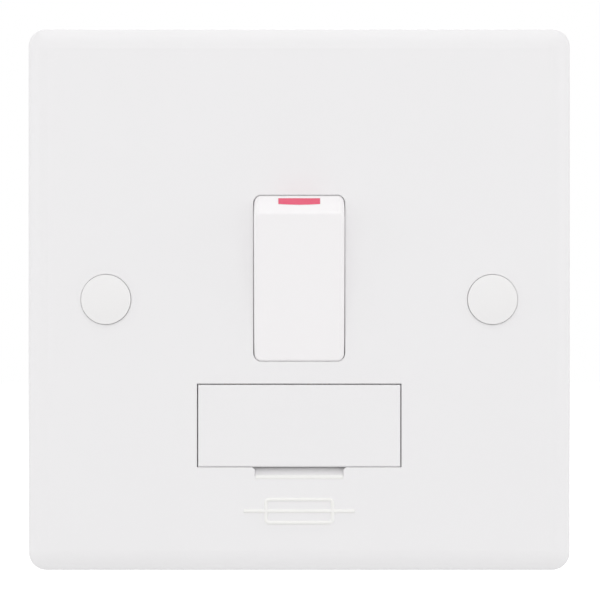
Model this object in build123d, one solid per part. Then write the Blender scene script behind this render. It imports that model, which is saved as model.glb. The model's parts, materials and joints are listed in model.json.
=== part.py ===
from build123d import *
import os
from math import cos, hypot, radians, sin

# Switched fused connection unit, in millimetres.
# The front faces -Y, +Z is up, and the origin is the middle of the plate on the wall plane.

# Faceplate
PLATE_SIZE = 85.0  # across the rim that meets the wall
PLATE_PROJECTION = 9.0  # wall to front face
PLATE_CORNER_R = 2.8
PLATE_LEAN = 0.2  # how far each side leans in between rim and shoulder
EDGE_WIDTH = 1.75  # the border that rolls over to the side, before its blend into the face
EDGE_DROP = 0.85
EDGE_BLEND_R = 6.0
SHOULDER_R = 0.5
FACE_CORNER_R = 1.6
FACE_THICKNESS = 2.4
SIDE_WALL = 2.2
WELL_WALL = 1.5
WELL_BACK = 0.5  # how far the wells reach behind the wall plane
MOULD_ROOT = 0.5  # how far a moulded wall runs into the wall that it grows from
TOUCH_GAP = 0.1  # between moulded pieces that locate each other
OVERCUT = 1.0  # how far a cut runs past the face that it opens

# Fixing to the wall box
FIXING_CENTRES = 60.3
PILLAR_R = 5.2
PILLAR_STEP = 0.3  # the pillars stop short of the wall plane
RIB_DEPTH = 2.2  # of the ribs between the pillars and the side walls
CAP_R = 3.88
CAP_GAP = 0.05
CAP_THICKNESS = 1.9
CAP_PROUD = 0.3
CAP_DOME = 0.25
CAP_SKIRT = 0.7
CAP_POCKET_DEPTH = 4.2
FIXING_THREAD_R = 1.75
FIXING_SHANK_R = 1.5
FIXING_HOLE_GAP = 0.35
FIXING_HEAD_R = 3.2
FIXING_HEAD_HEIGHT = 1.6
FIXING_HEAD_EDGE_R = 0.5
FIXING_SCREW_REACH = 20.0  # thread end, behind the wall plane
DRIVER_SLOT = 0.9

# Rocker
PIVOT_Z = 3.3
ROCKER_WIDTH = 14.1
ROCKER_HALF_FACE = 11.62  # from the pivot to either end of the flat face
ROCKER_FACE_REACH = 8.8  # from the pivot to the flat face
ROCKER_TILT = 9.0  # either side of level
ROCKER_GAP = 0.1
ROCKER_CORNER_R = 1.1
ROCKER_EDGE_R = 0.55
ROCKER_WALL = 1.5
ROCKER_SKIRT_BACK = 2.6  # the skirt stops this far in front of the pivot
CHEEK_R = 3.0
TRUNNION_R = 1.6
TRUNNION_GAP = 0.06
STEM_X = 3.2
STEM_R = 2.2
STEM_BORE_R = 1.5
STEM_BACK = 5.0  # behind the pivot
STEM_BORE_FRONT = 4.0  # in front of the pivot
FLAG_WIDTH = 6.5
FLAG_DEPTH = 0.5
FLAG_INSET = 7.6  # degrees of arc between the flat face and the flag
FLAG_ARC = 7.4  # degrees
FLAG_BOW = 0.2  # how far the flag's lower edge bows out

# Sprung plungers in the stems
PLUNGER_R = 1.4
PLUNGER_REACH = 8.95  # pivot to the middle of the round tip
PLUNGER_FOOT = 2.6  # pivot to the end that the spring meets
SPRING_R = 1.1
SPRING_WIRE_R = 0.2
SPRING_TURNS = 5

# See-saw contacts
FULCRUM_Y = 9.6
NOSE_R = 0.8
NOSE_GAP = 0.05
BLADE_TILT = 8.5  # either side of level
BLADE_WIDTH = 4.0
BLADE_THICKNESS = 1.0
BLADE_CORNER_R = 1.3
BLADE_SEAT = 0.3  # the fulcrum's centre lies this far behind the blade
BLADE_REACH = 11.2
BLADE_TAIL = 5.5
CONTACT_ARM = 10.0
TIP_R = 1.3
TIP_HEIGHT = 0.7
TIP_DOME_R = 3.0
CLOSED_GAP = 0.03

# Conducting strips
STRIP_WIDTH = 3.8
STRIP_THICKNESS = 0.8
STRIP_BEND_R = 0.9
STRIP_SLOT_GAP = 0.03
STRIP_TAIL = 1.5  # how far a strip's end is let into its terminal
POST_HEIGHT = 6.0  # fulcrum to the middle of the strip behind it
CROSS_Z = -9.7  # middle of the run that takes the live strip over to the fuse
CROSS_HEIGHT = 3.4
JOG_HEIGHT = 1.6  # of the step that takes the live strip over to its supply terminal
POLE_GAP = 0.4  # between the strips of the two poles
LOAD_RUN_STEP = 1.76  # from the lower stop wall to the middle of the runs to the load terminals

# Fuse carrier and fuse
CARRIER_WIDTH = 31.62
CARRIER_HEIGHT = 12.84
CARRIER_Z = -19.7
CARRIER_SIDE_GAP = 0.13
CARRIER_TOP_GAP = 0.13
CARRIER_FOOT_GAP = 0.04
CARRIER_FACE = 2.0
CARRIER_EDGE_R = 0.25
CARRIER_WALL = 1.4
CATCH_DEPTH = 0.8
CATCH_HEIGHT = 0.9
FUSE_LENGTH = 25.4
FUSE_R = 3.175
FUSE_BODY_R = 2.95
FUSE_CAP_LENGTH = 5.6
FUSE_CAP_WALL = 0.3
FUSE_CAP_EDGE_R = 0.15
FUSE_STANDOFF = 0.9  # carrier face to the fuse
FUSE_END_GAP = 0.2
SADDLE_HALF_WIDTH = 6.2
SADDLE_WALL = 1.3
SADDLE_GAP = 0.05
SADDLE_WRAP = 1.5  # the saddle's arms reach this far behind the fuse's middle
SADDLE_MOUTH = 2.6  # half the mouth between the saddle's arms
NOTCH_WIDTH = 13.8
NOTCH_HEIGHT = 1.45
NOTCH_DEPTH = 1.6
NOTCH_FLARE = 0.4

# Fuse clips
CLIP_WIDTH = 4.4
CLIP_THICKNESS = 0.6
CLIP_BEND_R = 0.6
CLIP_GAP = 0.05
CLIP_LIP = 1.1
CLIP_LIP_SPREAD = 0.7
CLIP_MOUTH_REACH = 1.6  # the straight jaws reach this far in front of the fuse's middle
CLIP_BACK_ROOM = 2.8
CLIP_X = 9.9
RIVET_R = 1.0
RIVET_HEAD_R = 1.6
RIVET_HEAD = 0.5

# Terminals
TERMINAL_PITCH = 16.4
TERMINAL_WIDTH = 7.5
TERMINAL_LENGTH = 8.0
TERMINAL_DEPTH = 8.4
TERMINAL_BORE_R = 2.3
TERMINAL_FRONT_WALL = 0.9
TERMINAL_EDGE = 0.3
TERMINAL_FIT = 0.12
CLAMP_R = 2.0
CLAMP_HOLE_GAP = 0.05
CLAMP_HEAD_R = 2.8
CLAMP_HEAD_HEIGHT = 2.2
CLAMP_BACKED_OFF = 0.4
CLAMP_GUIDE_GAP = 0.3

# Rear housing
HOUSING_SIDE_GAP = 0.45  # to the fixing pillars
HOUSING_HEIGHT = 60.0
HOUSING_DEPTH = 20.0  # behind the wall plane, over the switch
BAY_DEPTH = 16.8  # behind the wall plane, over the terminals
HOUSING_WALL = 1.6
HOUSING_CORNER_R = 2.0
HOUSING_REAR_R = 0.8
BAY_WALL = 1.4
FIN_WIDTH = 1.2
FIN_REACH = 2.4  # of the fins that keep the wires apart
FIN_FRONT = 1.6
ENTRY_MARGIN = 0.7  # wire entry round each terminal bore
ENTRY_CORNER_R = 1.2
CHAMBER_TOP = 10.8
CHAMBER_FOOT = -7.0
BARRIER_WIDTH = 1.2
BARRIER_FRONT = 5.2
BARRIER_GAP = 0.8  # from the barrier's top to the step in the live strip
STRIP_PASS_GAP = 0.4

# Housing screws
EAR_X = 18.0
EAR_R = 3.3
EAR_THICKNESS = 2.0
EAR_BACK = -0.6
BOSS_R = 3.2
SCREW_R = 1.1
SCREW_PILOT_GAP = 0.03
SCREW_CLEAR_GAP = 0.4
SCREW_HEAD_R = 2.5
SCREW_HEAD_HEIGHT = 1.5
SCREW_LENGTH = 6.4
CROSS_REACH = 1.25
CROSS_SLOT = 0.45

# Levels that follow from the sizes above
FRONT = -PLATE_PROJECTION
FACE_BACK = FRONT + FACE_THICKNESS
FIXING_X = FIXING_CENTRES / 2
CAP_POCKET_FLOOR = FRONT + CAP_POCKET_DEPTH
FIXING_HOLE_R = FIXING_THREAD_R + FIXING_HOLE_GAP

TILT = radians(ROCKER_TILT)
ROCKER_R = hypot(ROCKER_HALF_FACE, ROCKER_FACE_REACH)
PIVOT_Y = FRONT + ROCKER_FACE_REACH * cos(TILT) - ROCKER_HALF_FACE * sin(TILT)
APERTURE_HALF = ROCKER_WIDTH / 2 + ROCKER_GAP
WELL_HALF = APERTURE_HALF + WELL_WALL
WELL_R = ROCKER_R + ROCKER_GAP
ROCKER_PLACE = Pos(0, PIVOT_Y, PIVOT_Z) * Rot(ROCKER_TILT, 0, 0)

CARRIER_TOP = CARRIER_Z + CARRIER_HEIGHT / 2
CARRIER_FOOT = CARRIER_Z - CARRIER_HEIGHT / 2
DRAWER_HALF = CARRIER_WIDTH / 2 + CARRIER_SIDE_GAP
DRAWER_TOP = CARRIER_TOP + CARRIER_TOP_GAP
DRAWER_FOOT = CARRIER_FOOT - CARRIER_FOOT_GAP
FUSE_Y = FRONT + CARRIER_FACE + FUSE_STANDOFF + FUSE_R
CHEEK_INNER = FUSE_LENGTH / 2 + FUSE_END_GAP
JAW_HALF = FUSE_R + CLIP_GAP
CLIP_BASE = FUSE_Y + FUSE_R + CLIP_BACK_ROOM
PAD_FRONT = CLIP_BASE + CLIP_THICKNESS
PAD_BACK = PAD_FRONT + STRIP_THICKNESS

CLOSE = radians(BLADE_TILT)
BLADE_PLACE = {x: Pos(x, FULCRUM_Y, PIVOT_Z) * Rot(-BLADE_TILT, 0, 0) for x in (-STEM_X, STEM_X)}
TIP_FACE = TIP_HEIGHT - BLADE_SEAT
CLOSED_Y = TIP_FACE * cos(CLOSE) + CONTACT_ARM * sin(CLOSE)
CLOSED_Z = CONTACT_ARM * cos(CLOSE) - TIP_FACE * sin(CLOSE)
DOME_Y = FULCRUM_Y + CLOSED_Y + (TIP_DOME_R + CLOSED_GAP) / cos(CLOSE)
FIXED_Z = PIVOT_Z + CLOSED_Z
STRIP_FRONT = DOME_Y - TIP_DOME_R + TIP_HEIGHT
STRIP_BACK = STRIP_FRONT + STRIP_THICKNESS
STRIP_MIDDLE = (STRIP_FRONT + STRIP_BACK) / 2
FOOT_MIDDLE = FULCRUM_Y + POST_HEIGHT

TERMINAL_BACK = STRIP_BACK
TERMINAL_FRONT = TERMINAL_BACK - TERMINAL_DEPTH
BORE_Y = TERMINAL_FRONT + TERMINAL_FRONT_WALL + TERMINAL_BORE_R
HOUSING_HALF = FIXING_X - PILLAR_R - HOUSING_SIDE_GAP
HOUSING_END = HOUSING_HEIGHT / 2
FLOOR = HOUSING_DEPTH - HOUSING_WALL
BAY_FLOOR = BAY_DEPTH - HOUSING_WALL
TERMINAL_OUTER = HOUSING_END - HOUSING_WALL - TERMINAL_FIT
TERMINAL_INNER = TERMINAL_OUTER - TERMINAL_LENGTH
TERMINAL_Z = (TERMINAL_OUTER + TERMINAL_INNER) / 2
STOP_WALL = (TERMINAL_INNER - TERMINAL_FIT - HOUSING_WALL, TERMINAL_INNER - TERMINAL_FIT)
TAIL_END = TERMINAL_INNER + STRIP_TAIL
LOAD_RUN_Z = LOAD_RUN_STEP - STOP_WALL[0]
JOG = (STOP_WALL[0] - TOUCH_GAP - JOG_HEIGHT, STOP_WALL[0] - TOUCH_GAP)
BARRIER_TOP = JOG[0] - BARRIER_GAP
BAY_HALF = TERMINAL_WIDTH / 2 + TERMINAL_FIT
CLAMP_HEAD_FRONT = TERMINAL_BACK + CLAMP_BACKED_OFF
EAR_Z = HOUSING_END + EAR_R
EAR_FRONT = EAR_BACK - EAR_THICKNESS
LEFT, MIDDLE, RIGHT = -TERMINAL_PITCH, 0.0, TERMINAL_PITCH
TOP, BOTTOM = 1, -1
TERMINALS = {
    "terminal_earth_in": (LEFT, TOP),
    "terminal_live_in": (MIDDLE, TOP),
    "terminal_neutral_in": (RIGHT, TOP),
    "terminal_earth_out": (LEFT, BOTTOM),
    "terminal_neutral_out": (MIDDLE, BOTTOM),
    "terminal_live_out": (RIGHT, BOTTOM),
}


def span(middle, half):
    """Return the pair of limits that lie half either side of a middle."""
    return (middle - half, middle + half)


def block(x, y, z):
    """Make a box from its limits along each axis, in either order."""
    limits = [sorted(pair) for pair in (x, y, z)]
    middle = [(low + high) / 2 for low, high in limits]
    size = [high - low for low, high in limits]
    return Pos(*middle) * Box(*size)


def rod_x(radius, x, y, z):
    """Make a round bar along X between two limits."""
    return Pos((x[0] + x[1]) / 2, y, z) * Rot(0, 90, 0) * Cylinder(radius, x[1] - x[0])


def rod_y(radius, x, y, z):
    """Make a round bar along Y between two limits."""
    return Pos(x, (y[0] + y[1]) / 2, z) * Rot(90, 0, 0) * Cylinder(radius, y[1] - y[0])


def rod_z(radius, x, y, z):
    """Make a round bar along Z between two limits."""
    return Pos(x, y, (z[0] + z[1]) / 2) * Cylinder(radius, z[1] - z[0])


def turned(points, x, z):
    """Spin a closed outline of (radius, y) points about the line along Y through x, z."""
    outline = make_face(Polyline(*[(radius, y) for radius, y in points], close=True))
    return Pos(x, 0, z) * revolve(outline, Axis.Y)


def prism_x(points, x):
    """Extrude a closed outline of (y, z) points between two limits along X."""
    outline = Plane.YZ.offset(x[0]) * make_face(Polyline(*points, close=True))
    return extrude(outline, amount=x[1] - x[0])


def bent_strip(points, x):
    """Fold a strip of sheet along a route of (y, z) points, between two limits along X."""
    route = FilletPolyline(*points, radius=STRIP_BEND_R) if len(points) > 2 else Polyline(*points)
    section = Plane.YZ.offset(x[0]) * trace(route, line_width=STRIP_THICKNESS)
    return extrude(section, amount=x[1] - x[0])


def flat_strip(x, z):
    """Make a flat run of strip in the plane that the terminals share."""
    return block(x, (STRIP_FRONT, STRIP_BACK), z)


def edges_at(shape, y):
    """Pick the edges of a shape that lie wholly at one depth."""
    near = 1e-4
    return [
        edge
        for edge in shape.edges()
        if abs(edge.bounding_box().min.Y - y) < near and abs(edge.bounding_box().max.Y - y) < near
    ]


def drum(radius, half, corner):
    """Make a cylinder along X with rounded rims, which both the rocker and its well are cut from."""
    bar = rod_x(radius, span(0, half), 0, 0)
    return fillet(bar.edges().filter_by(GeomType.CIRCLE), corner)


def plate_section(size, corner, y):
    """Draw the rounded square outline of the plate at one depth."""
    return Plane.XZ.offset(-y) * RectangleRounded(size, size, corner)


def plate_shell():
    """Make the hollow plate with its bevelled border."""
    shoulder = FRONT + EDGE_DROP
    shoulder_size = PLATE_SIZE - 2 * PLATE_LEAN
    face_size = shoulder_size - 2 * EDGE_WIDTH
    outlines = [
        plate_section(PLATE_SIZE, PLATE_CORNER_R, 0),
        plate_section(shoulder_size, PLATE_CORNER_R, shoulder),
        plate_section(face_size, FACE_CORNER_R, FRONT),
    ]
    shell = loft(outlines, ruled=True)
    shell = fillet(edges_at(shell, FRONT), EDGE_BLEND_R)
    shell = fillet(edges_at(shell, shoulder), SHOULDER_R)
    room = PLATE_SIZE - 2 * SIDE_WALL
    corner = max(PLATE_CORNER_R - SIDE_WALL, MOULD_ROOT)
    return shell - extrude(plate_section(room, corner, 0), amount=-FACE_BACK)


def carrier_notch():
    """Make the sloping scoop under the carrier that lets a blade in to prise it out."""
    foot = DRAWER_FOOT - NOTCH_HEIGHT
    slope = [
        (FRONT, foot),
        (FRONT + NOTCH_DEPTH, DRAWER_FOOT),
        (FRONT + NOTCH_DEPTH, DRAWER_FOOT + NOTCH_FLARE),
        (FRONT - NOTCH_DEPTH, DRAWER_FOOT + NOTCH_FLARE),
        (FRONT - NOTCH_DEPTH, foot),
    ]
    half = NOTCH_WIDTH / 2
    wide = half + NOTCH_FLARE
    outline = [
        (-half, foot - NOTCH_FLARE),
        (half, foot - NOTCH_FLARE),
        (half, DRAWER_FOOT - NOTCH_FLARE),
        (wide, DRAWER_FOOT),
        (wide, DRAWER_FOOT + NOTCH_FLARE),
        (-wide, DRAWER_FOOT + NOTCH_FLARE),
        (-wide, DRAWER_FOOT),
        (-half, DRAWER_FOOT - NOTCH_FLARE),
    ]
    front = Plane.XZ * make_face(Polyline(*outline, close=True))
    return prism_x(slope, span(0, wide)) & extrude(front, amount=2 * PLATE_PROJECTION)


def faceplate():
    """Make the plate with its wells, pillars, bosses and posts."""
    root = FACE_BACK - MOULD_ROOT
    plate = plate_shell()
    plate += block(span(0, WELL_HALF), (root, WELL_BACK), span(PIVOT_Z, WELL_R + WELL_WALL))
    drawer_wall = (DRAWER_FOOT - WELL_WALL, DRAWER_TOP + WELL_WALL)
    plate += block(span(0, DRAWER_HALF + WELL_WALL), (root, WELL_BACK), drawer_wall)
    for side in (-1, 1):
        plate += rod_y(PILLAR_R, side * FIXING_X, (root, -PILLAR_STEP), 0)
        rib = (FIXING_X, PLATE_SIZE / 2 - SIDE_WALL + MOULD_ROOT)
        rib_y = (root, FACE_BACK + RIB_DEPTH)
        plate += block([side * end for end in rib], rib_y, span(0, WELL_WALL / 2))
        for end in (-1, 1):
            plate += rod_y(BOSS_R, side * EAR_X, (root, EAR_FRONT), end * EAR_Z)
    for x, row in TERMINALS.values():
        keeper = span(TERMINAL_Z, WELL_WALL) if row == TOP else (drawer_wall[0], DRAWER_FOOT)
        plate += block(span(x, WELL_WALL), (root, TERMINAL_FRONT - TOUCH_GAP), keeper)
    plate -= Pos(0, PIVOT_Y, PIVOT_Z) * drum(WELL_R, APERTURE_HALF, ROCKER_CORNER_R + ROCKER_GAP)
    slot_half = TRUNNION_R + TRUNNION_GAP
    across = span(0, WELL_HALF + MOULD_ROOT)
    plate -= rod_x(slot_half, across, PIVOT_Y, PIVOT_Z)
    plate -= block(across, (PIVOT_Y, WELL_BACK + MOULD_ROOT), span(PIVOT_Z, slot_half))
    drawer_y = (FRONT - OVERCUT, WELL_BACK + OVERCUT)
    plate -= block(span(0, DRAWER_HALF), drawer_y, (DRAWER_FOOT, DRAWER_TOP))
    plate -= carrier_notch()
    for side in (-1, 1):
        x = side * FIXING_X
        plate -= rod_y(CAP_R + CAP_GAP, x, (FRONT - OVERCUT, CAP_POCKET_FLOOR), 0)
        plate -= rod_y(FIXING_HOLE_R, x, (FRONT, OVERCUT), 0)
        for end in (-1, 1):
            tip = EAR_BACK - SCREW_LENGTH - TOUCH_GAP
            plate -= rod_y(SCREW_R + SCREW_PILOT_GAP, side * EAR_X, (tip, EAR_BACK), end * EAR_Z)
    return plate


def flag_sector(outer, inner):
    """Make the short band of arc that the on-flag fills, in the rocker's level frame.

    A wide disc, seen along the rocker's radius, bows the band's lower edge.
    """
    face_angle = Vector(ROCKER_HALF_FACE, ROCKER_FACE_REACH).get_angle(Vector(1, 0))
    foot_angle = face_angle - FLAG_INSET
    upper = radians(foot_angle - FLAG_ARC)
    lower = radians(foot_angle)
    far = 2 * ROCKER_R
    bow_r = ((FLAG_WIDTH / 2) ** 2 + FLAG_BOW**2) / (2 * FLAG_BOW)
    disc = Rot(foot_angle - 90, 0, 0) * rod_y(bow_r, 0, (-far, 0), bow_r)
    wedge = [(0, 0), (-far * sin(upper), far * cos(upper)), (-far * sin(lower), far * cos(lower))]
    half = span(0, FLAG_WIDTH / 2)
    return (rod_x(outer, half, 0, 0) - rod_x(inner, half, 0, 0)) & prism_x(wedge, half) & disc


def rocker():
    """Make the rocker, level about its pivot, then tilt it to the on position."""
    half = ROCKER_WIDTH / 2
    inner_half = half - ROCKER_WALL
    face = -ROCKER_FACE_REACH
    inside = face + ROCKER_WALL
    skirt = -ROCKER_SKIRT_BACK
    tall = span(0, ROCKER_R + OVERCUT)
    body = drum(ROCKER_R, half, ROCKER_CORNER_R) & block(span(0, half), (face, skirt), tall)
    body = fillet(edges_at(body, face), ROCKER_EDGE_R)
    hollow = rod_x(ROCKER_R - ROCKER_WALL, span(0, inner_half), 0, 0)
    body -= hollow & block(span(0, half), (inside, OVERCUT), tall)
    for side in (-1, 1):
        cheek = sorted((side * inner_half, side * half))
        body += block(cheek, (skirt - MOULD_ROOT, 0), span(0, CHEEK_R)) + rod_x(CHEEK_R, cheek, 0, 0)
        body += rod_x(TRUNNION_R, sorted((side * inner_half, side * (WELL_HALF - TOUCH_GAP))), 0, 0)
        body += rod_y(STEM_R, side * STEM_X, (inside - MOULD_ROOT, STEM_BACK), 0)
    for side in (-1, 1):
        body -= rod_y(STEM_BORE_R, side * STEM_X, (-STEM_BORE_FRONT, STEM_BACK + OVERCUT), 0)
    body -= flag_sector(ROCKER_R + OVERCUT, ROCKER_R - FLAG_DEPTH)
    return ROCKER_PLACE * body


def on_flag():
    """Make the red strip let into the upper end of the rocker."""
    return ROCKER_PLACE * flag_sector(ROCKER_R, ROCKER_R - FLAG_DEPTH)


def plunger(x):
    """Make a round-ended plunger in one stem of the rocker."""
    body = rod_y(PLUNGER_R, x, (PLUNGER_FOOT, PLUNGER_REACH), 0)
    return ROCKER_PLACE * (body + Pos(x, PLUNGER_REACH, 0) * Sphere(PLUNGER_R))


def plunger_spring(x):
    """Wind the spring between the end of a stem's bore and its plunger."""
    start = -STEM_BORE_FRONT + SPRING_WIRE_R
    length = PLUNGER_FOOT + STEM_BORE_FRONT - 2 * SPRING_WIRE_R
    route = Helix(length / SPRING_TURNS, length, SPRING_R, direction=(0, 1, 0))
    wire = Plane(route @ 0, z_dir=route % 0) * Circle(SPRING_WIRE_R)
    return ROCKER_PLACE * Pos(x, start, 0) * sweep(wire, path=route, is_frenet=True)


def moving_contact(x):
    """Make one see-saw blade with the groove that rides on its fulcrum."""
    level = (-BLADE_SEAT - BLADE_THICKNESS, -BLADE_SEAT)
    blade = block(span(0, BLADE_WIDTH / 2), level, (-BLADE_TAIL, BLADE_REACH))
    blade = fillet(blade.edges().filter_by(Axis.Y), BLADE_CORNER_R)
    blade -= rod_x(NOSE_R + NOSE_GAP, span(0, BLADE_WIDTH), 0, 0)
    return BLADE_PLACE[x] * blade


def moving_tip(x):
    """Make the flat contact tip on the upper end of a blade."""
    return BLADE_PLACE[x] * rod_y(TIP_R, 0, (-BLADE_SEAT, TIP_FACE), CONTACT_ARM)


def fixed_tip(x):
    """Make the domed contact tip that a blade closes on."""
    button = rod_y(TIP_R, x, (DOME_Y - TIP_DOME_R, STRIP_FRONT), FIXED_Z)
    return button & (Pos(x, DOME_Y, FIXED_Z) * Sphere(TIP_DOME_R))


def fulcrum(x, foot_end):
    """Make a fulcrum post with its rolled nose and the strip that runs down behind it."""
    width = span(x, STRIP_WIDTH / 2)
    post = bent_strip([(FULCRUM_Y, PIVOT_Z), (FOOT_MIDDLE, PIVOT_Z), (FOOT_MIDDLE, foot_end)], width)
    return post + rod_x(NOSE_R, width, FULCRUM_Y, PIVOT_Z)


def live_in_strip():
    """Make the strip from the live supply terminal to its fixed contact."""
    contact = span(-STEM_X, STRIP_WIDTH / 2)
    tail = (MIDDLE - STRIP_WIDTH / 2, STEM_X - STRIP_WIDTH / 2 - POLE_GAP)
    strip = flat_strip(contact, (FIXED_Z - STRIP_WIDTH / 2, JOG[1]))
    return strip + flat_strip((contact[0], tail[1]), JOG) + flat_strip(tail, (JOG[0], TAIL_END))


def neutral_in_strip():
    """Make the strip from the neutral supply terminal to its fixed contact."""
    contact = span(STEM_X, STRIP_WIDTH / 2)
    tail = span(RIGHT, STRIP_WIDTH / 2)
    run = span(FIXED_Z, STRIP_WIDTH / 2)
    return flat_strip((contact[0], tail[1]), run) + flat_strip(tail, (run[0], TAIL_END))


def live_common_strip():
    """Make the strip from the live fulcrum across and forward to the left fuse clip."""
    cross = span(CROSS_Z, CROSS_HEIGHT / 2)
    pad = span(-CLIP_X, CLIP_WIDTH / 2)
    pad_middle = (PAD_FRONT + PAD_BACK) / 2
    strip = fulcrum(-STEM_X, cross[0])
    foot = span(FOOT_MIDDLE, STRIP_THICKNESS / 2)
    strip += block((pad[0], -STEM_X + STRIP_WIDTH / 2), foot, cross)
    riser = cross[0] - STRIP_BEND_R
    route = [(FOOT_MIDDLE, cross[1]), (FOOT_MIDDLE, riser), (pad_middle, riser)]
    return strip + bent_strip(route + [(pad_middle, CARRIER_Z - JAW_HALF)], pad)


def neutral_out_strip():
    """Make the strip from the neutral fulcrum down to its load terminal."""
    run = span(LOAD_RUN_Z, STRIP_WIDTH / 2)
    pole = span(STEM_X, STRIP_WIDTH / 2)
    tail = span(MIDDLE, STRIP_WIDTH / 2)
    riser = run[1] + STRIP_BEND_R
    strip = fulcrum(STEM_X, riser + 2 * STRIP_BEND_R)
    route = [(FOOT_MIDDLE, PIVOT_Z - 2 * STRIP_BEND_R), (FOOT_MIDDLE, riser), (STRIP_MIDDLE, riser)]
    strip += bent_strip(route + [(STRIP_MIDDLE, LOAD_RUN_Z)], pole)
    strip += flat_strip((tail[0], pole[1]), (-STOP_WALL[0], run[1]))
    return strip + flat_strip(tail, (-TAIL_END, run[1]))


def live_out_strip():
    """Make the strip from the right fuse clip back and down to the live load terminal."""
    pad = span(CLIP_X, CLIP_WIDTH / 2)
    tail = span(RIGHT, STRIP_WIDTH / 2)
    pad_middle = (PAD_FRONT + PAD_BACK) / 2
    riser = LOAD_RUN_Z + STRIP_WIDTH / 2
    route = [(pad_middle, CARRIER_Z - JAW_HALF), (pad_middle, riser), (STRIP_MIDDLE, riser)]
    strip = bent_strip(route + [(STRIP_MIDDLE, -STOP_WALL[0])], pad)
    strip += flat_strip((pad[0], tail[1]), (-STOP_WALL[0], LOAD_RUN_Z))
    return strip + flat_strip(tail, (-TAIL_END, LOAD_RUN_Z))


def earth_strap():
    """Make the strap that links the two earth terminals."""
    return flat_strip(span(LEFT, STRIP_WIDTH / 2), (-TAIL_END, TAIL_END))


def fuse_clip(x):
    """Make a spring clip whose two jaws hold one end of the fuse."""
    width = span(x, CLIP_WIDTH / 2)
    jaw = JAW_HALF + CLIP_THICKNESS / 2
    mouth = FUSE_Y - CLIP_MOUTH_REACH
    base = CLIP_BASE + CLIP_THICKNESS / 2
    upper = [(mouth - CLIP_LIP, jaw + CLIP_LIP_SPREAD), (mouth, jaw), (base, jaw)]
    lower = [(y, -z) for y, z in reversed(upper)]
    route = FilletPolyline(*[(y, CARRIER_Z + z) for y, z in upper + lower], radius=CLIP_BEND_R)
    section = Plane.YZ.offset(width[0]) * trace(route, line_width=CLIP_THICKNESS)
    clip = extrude(section, amount=CLIP_WIDTH)
    return clip - rod_y(RIVET_R, x, span(base, CLIP_THICKNESS), CARRIER_Z)


def clip_rivet(x):
    """Make the rivet that joins a clip to the strip behind it."""
    shank = rod_y(RIVET_R, x, (CLIP_BASE, PAD_FRONT), CARRIER_Z)
    return shank + rod_y(RIVET_HEAD_R, x, (CLIP_BASE - RIVET_HEAD, CLIP_BASE), CARRIER_Z)


def fuse_carrier():
    """Make the drawer that holds the fuse, with its snap-in saddle and end cheeks."""
    half = CARRIER_WIDTH / 2
    tall = (CARRIER_FOOT, CARRIER_TOP)
    panel_back = FRONT + CARRIER_FACE
    carrier = block(span(0, half), (FRONT, panel_back), tall)
    carrier = fillet(edges_at(carrier, FRONT), CARRIER_EDGE_R)
    for side in (-1, 1):
        cheek = (side * CHEEK_INNER, side * half)
        carrier += block(cheek, (panel_back - MOULD_ROOT, WELL_BACK), tall)
        pocket = (side * (CHEEK_INNER + CARRIER_WALL), side * (half + OVERCUT))
        pocket_z = (CARRIER_FOOT + CARRIER_WALL, CARRIER_TOP - CARRIER_WALL)
        carrier -= block(pocket, (panel_back, WELL_BACK - CARRIER_WALL), pocket_z)
    saddle_half = FUSE_BODY_R + SADDLE_GAP + SADDLE_WALL
    arms = (panel_back - MOULD_ROOT, FUSE_Y + SADDLE_WRAP)
    carrier += block(span(0, SADDLE_HALF_WIDTH), arms, span(CARRIER_Z, saddle_half))
    bed = span(0, SADDLE_HALF_WIDTH + OVERCUT)
    carrier -= rod_x(FUSE_BODY_R + SADDLE_GAP, bed, FUSE_Y, CARRIER_Z)
    carrier -= block(bed, (FUSE_Y, arms[1] + OVERCUT), span(CARRIER_Z, SADDLE_MOUTH))
    catch = (panel_back - CATCH_DEPTH, panel_back + CATCH_DEPTH)
    catch_z = (CARRIER_FOOT - OVERCUT, CARRIER_FOOT + CATCH_HEIGHT)
    return carrier - block(span(0, NOTCH_WIDTH / 2), catch, catch_z)


def fuse_body():
    """Make the ceramic body of the cartridge fuse."""
    half = FUSE_LENGTH / 2 - FUSE_CAP_WALL
    return rod_x(FUSE_BODY_R, span(0, half), FUSE_Y, CARRIER_Z)


def fuse_cap(side):
    """Make one plated end cap of the fuse."""
    end = FUSE_LENGTH / 2
    reach = sorted((side * (end - FUSE_CAP_LENGTH), side * end))
    cup = rod_x(FUSE_R, reach, FUSE_Y, CARRIER_Z)
    cup = fillet(cup.edges().filter_by(GeomType.CIRCLE), FUSE_CAP_EDGE_R)
    room = sorted((0, side * (end - FUSE_CAP_WALL)))
    return cup - rod_x(FUSE_BODY_R, room, FUSE_Y, CARRIER_Z)


def terminal(x, row):
    """Make one brass terminal with its wire bore, clamp hole and the rebate over its strip."""
    length = (row * TERMINAL_INNER, row * TERMINAL_OUTER)
    body = block(span(x, TERMINAL_WIDTH / 2), (TERMINAL_FRONT, TERMINAL_BACK), length)
    body = chamfer(body.edges().filter_by(Axis.Z), TERMINAL_EDGE)
    body -= rod_z(TERMINAL_BORE_R, x, BORE_Y, span(row * TERMINAL_Z, TERMINAL_LENGTH))
    body -= rod_y(CLAMP_R + CLAMP_HOLE_GAP, x, (BORE_Y, TERMINAL_BACK + OVERCUT), row * TERMINAL_Z)
    rebate = (STRIP_FRONT - STRIP_SLOT_GAP, TERMINAL_BACK + OVERCUT)
    depth = (row * (TERMINAL_INNER - OVERCUT), row * (TAIL_END + STRIP_SLOT_GAP))
    return body - block(span(x, STRIP_WIDTH / 2 + STRIP_SLOT_GAP), rebate, depth)


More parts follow.
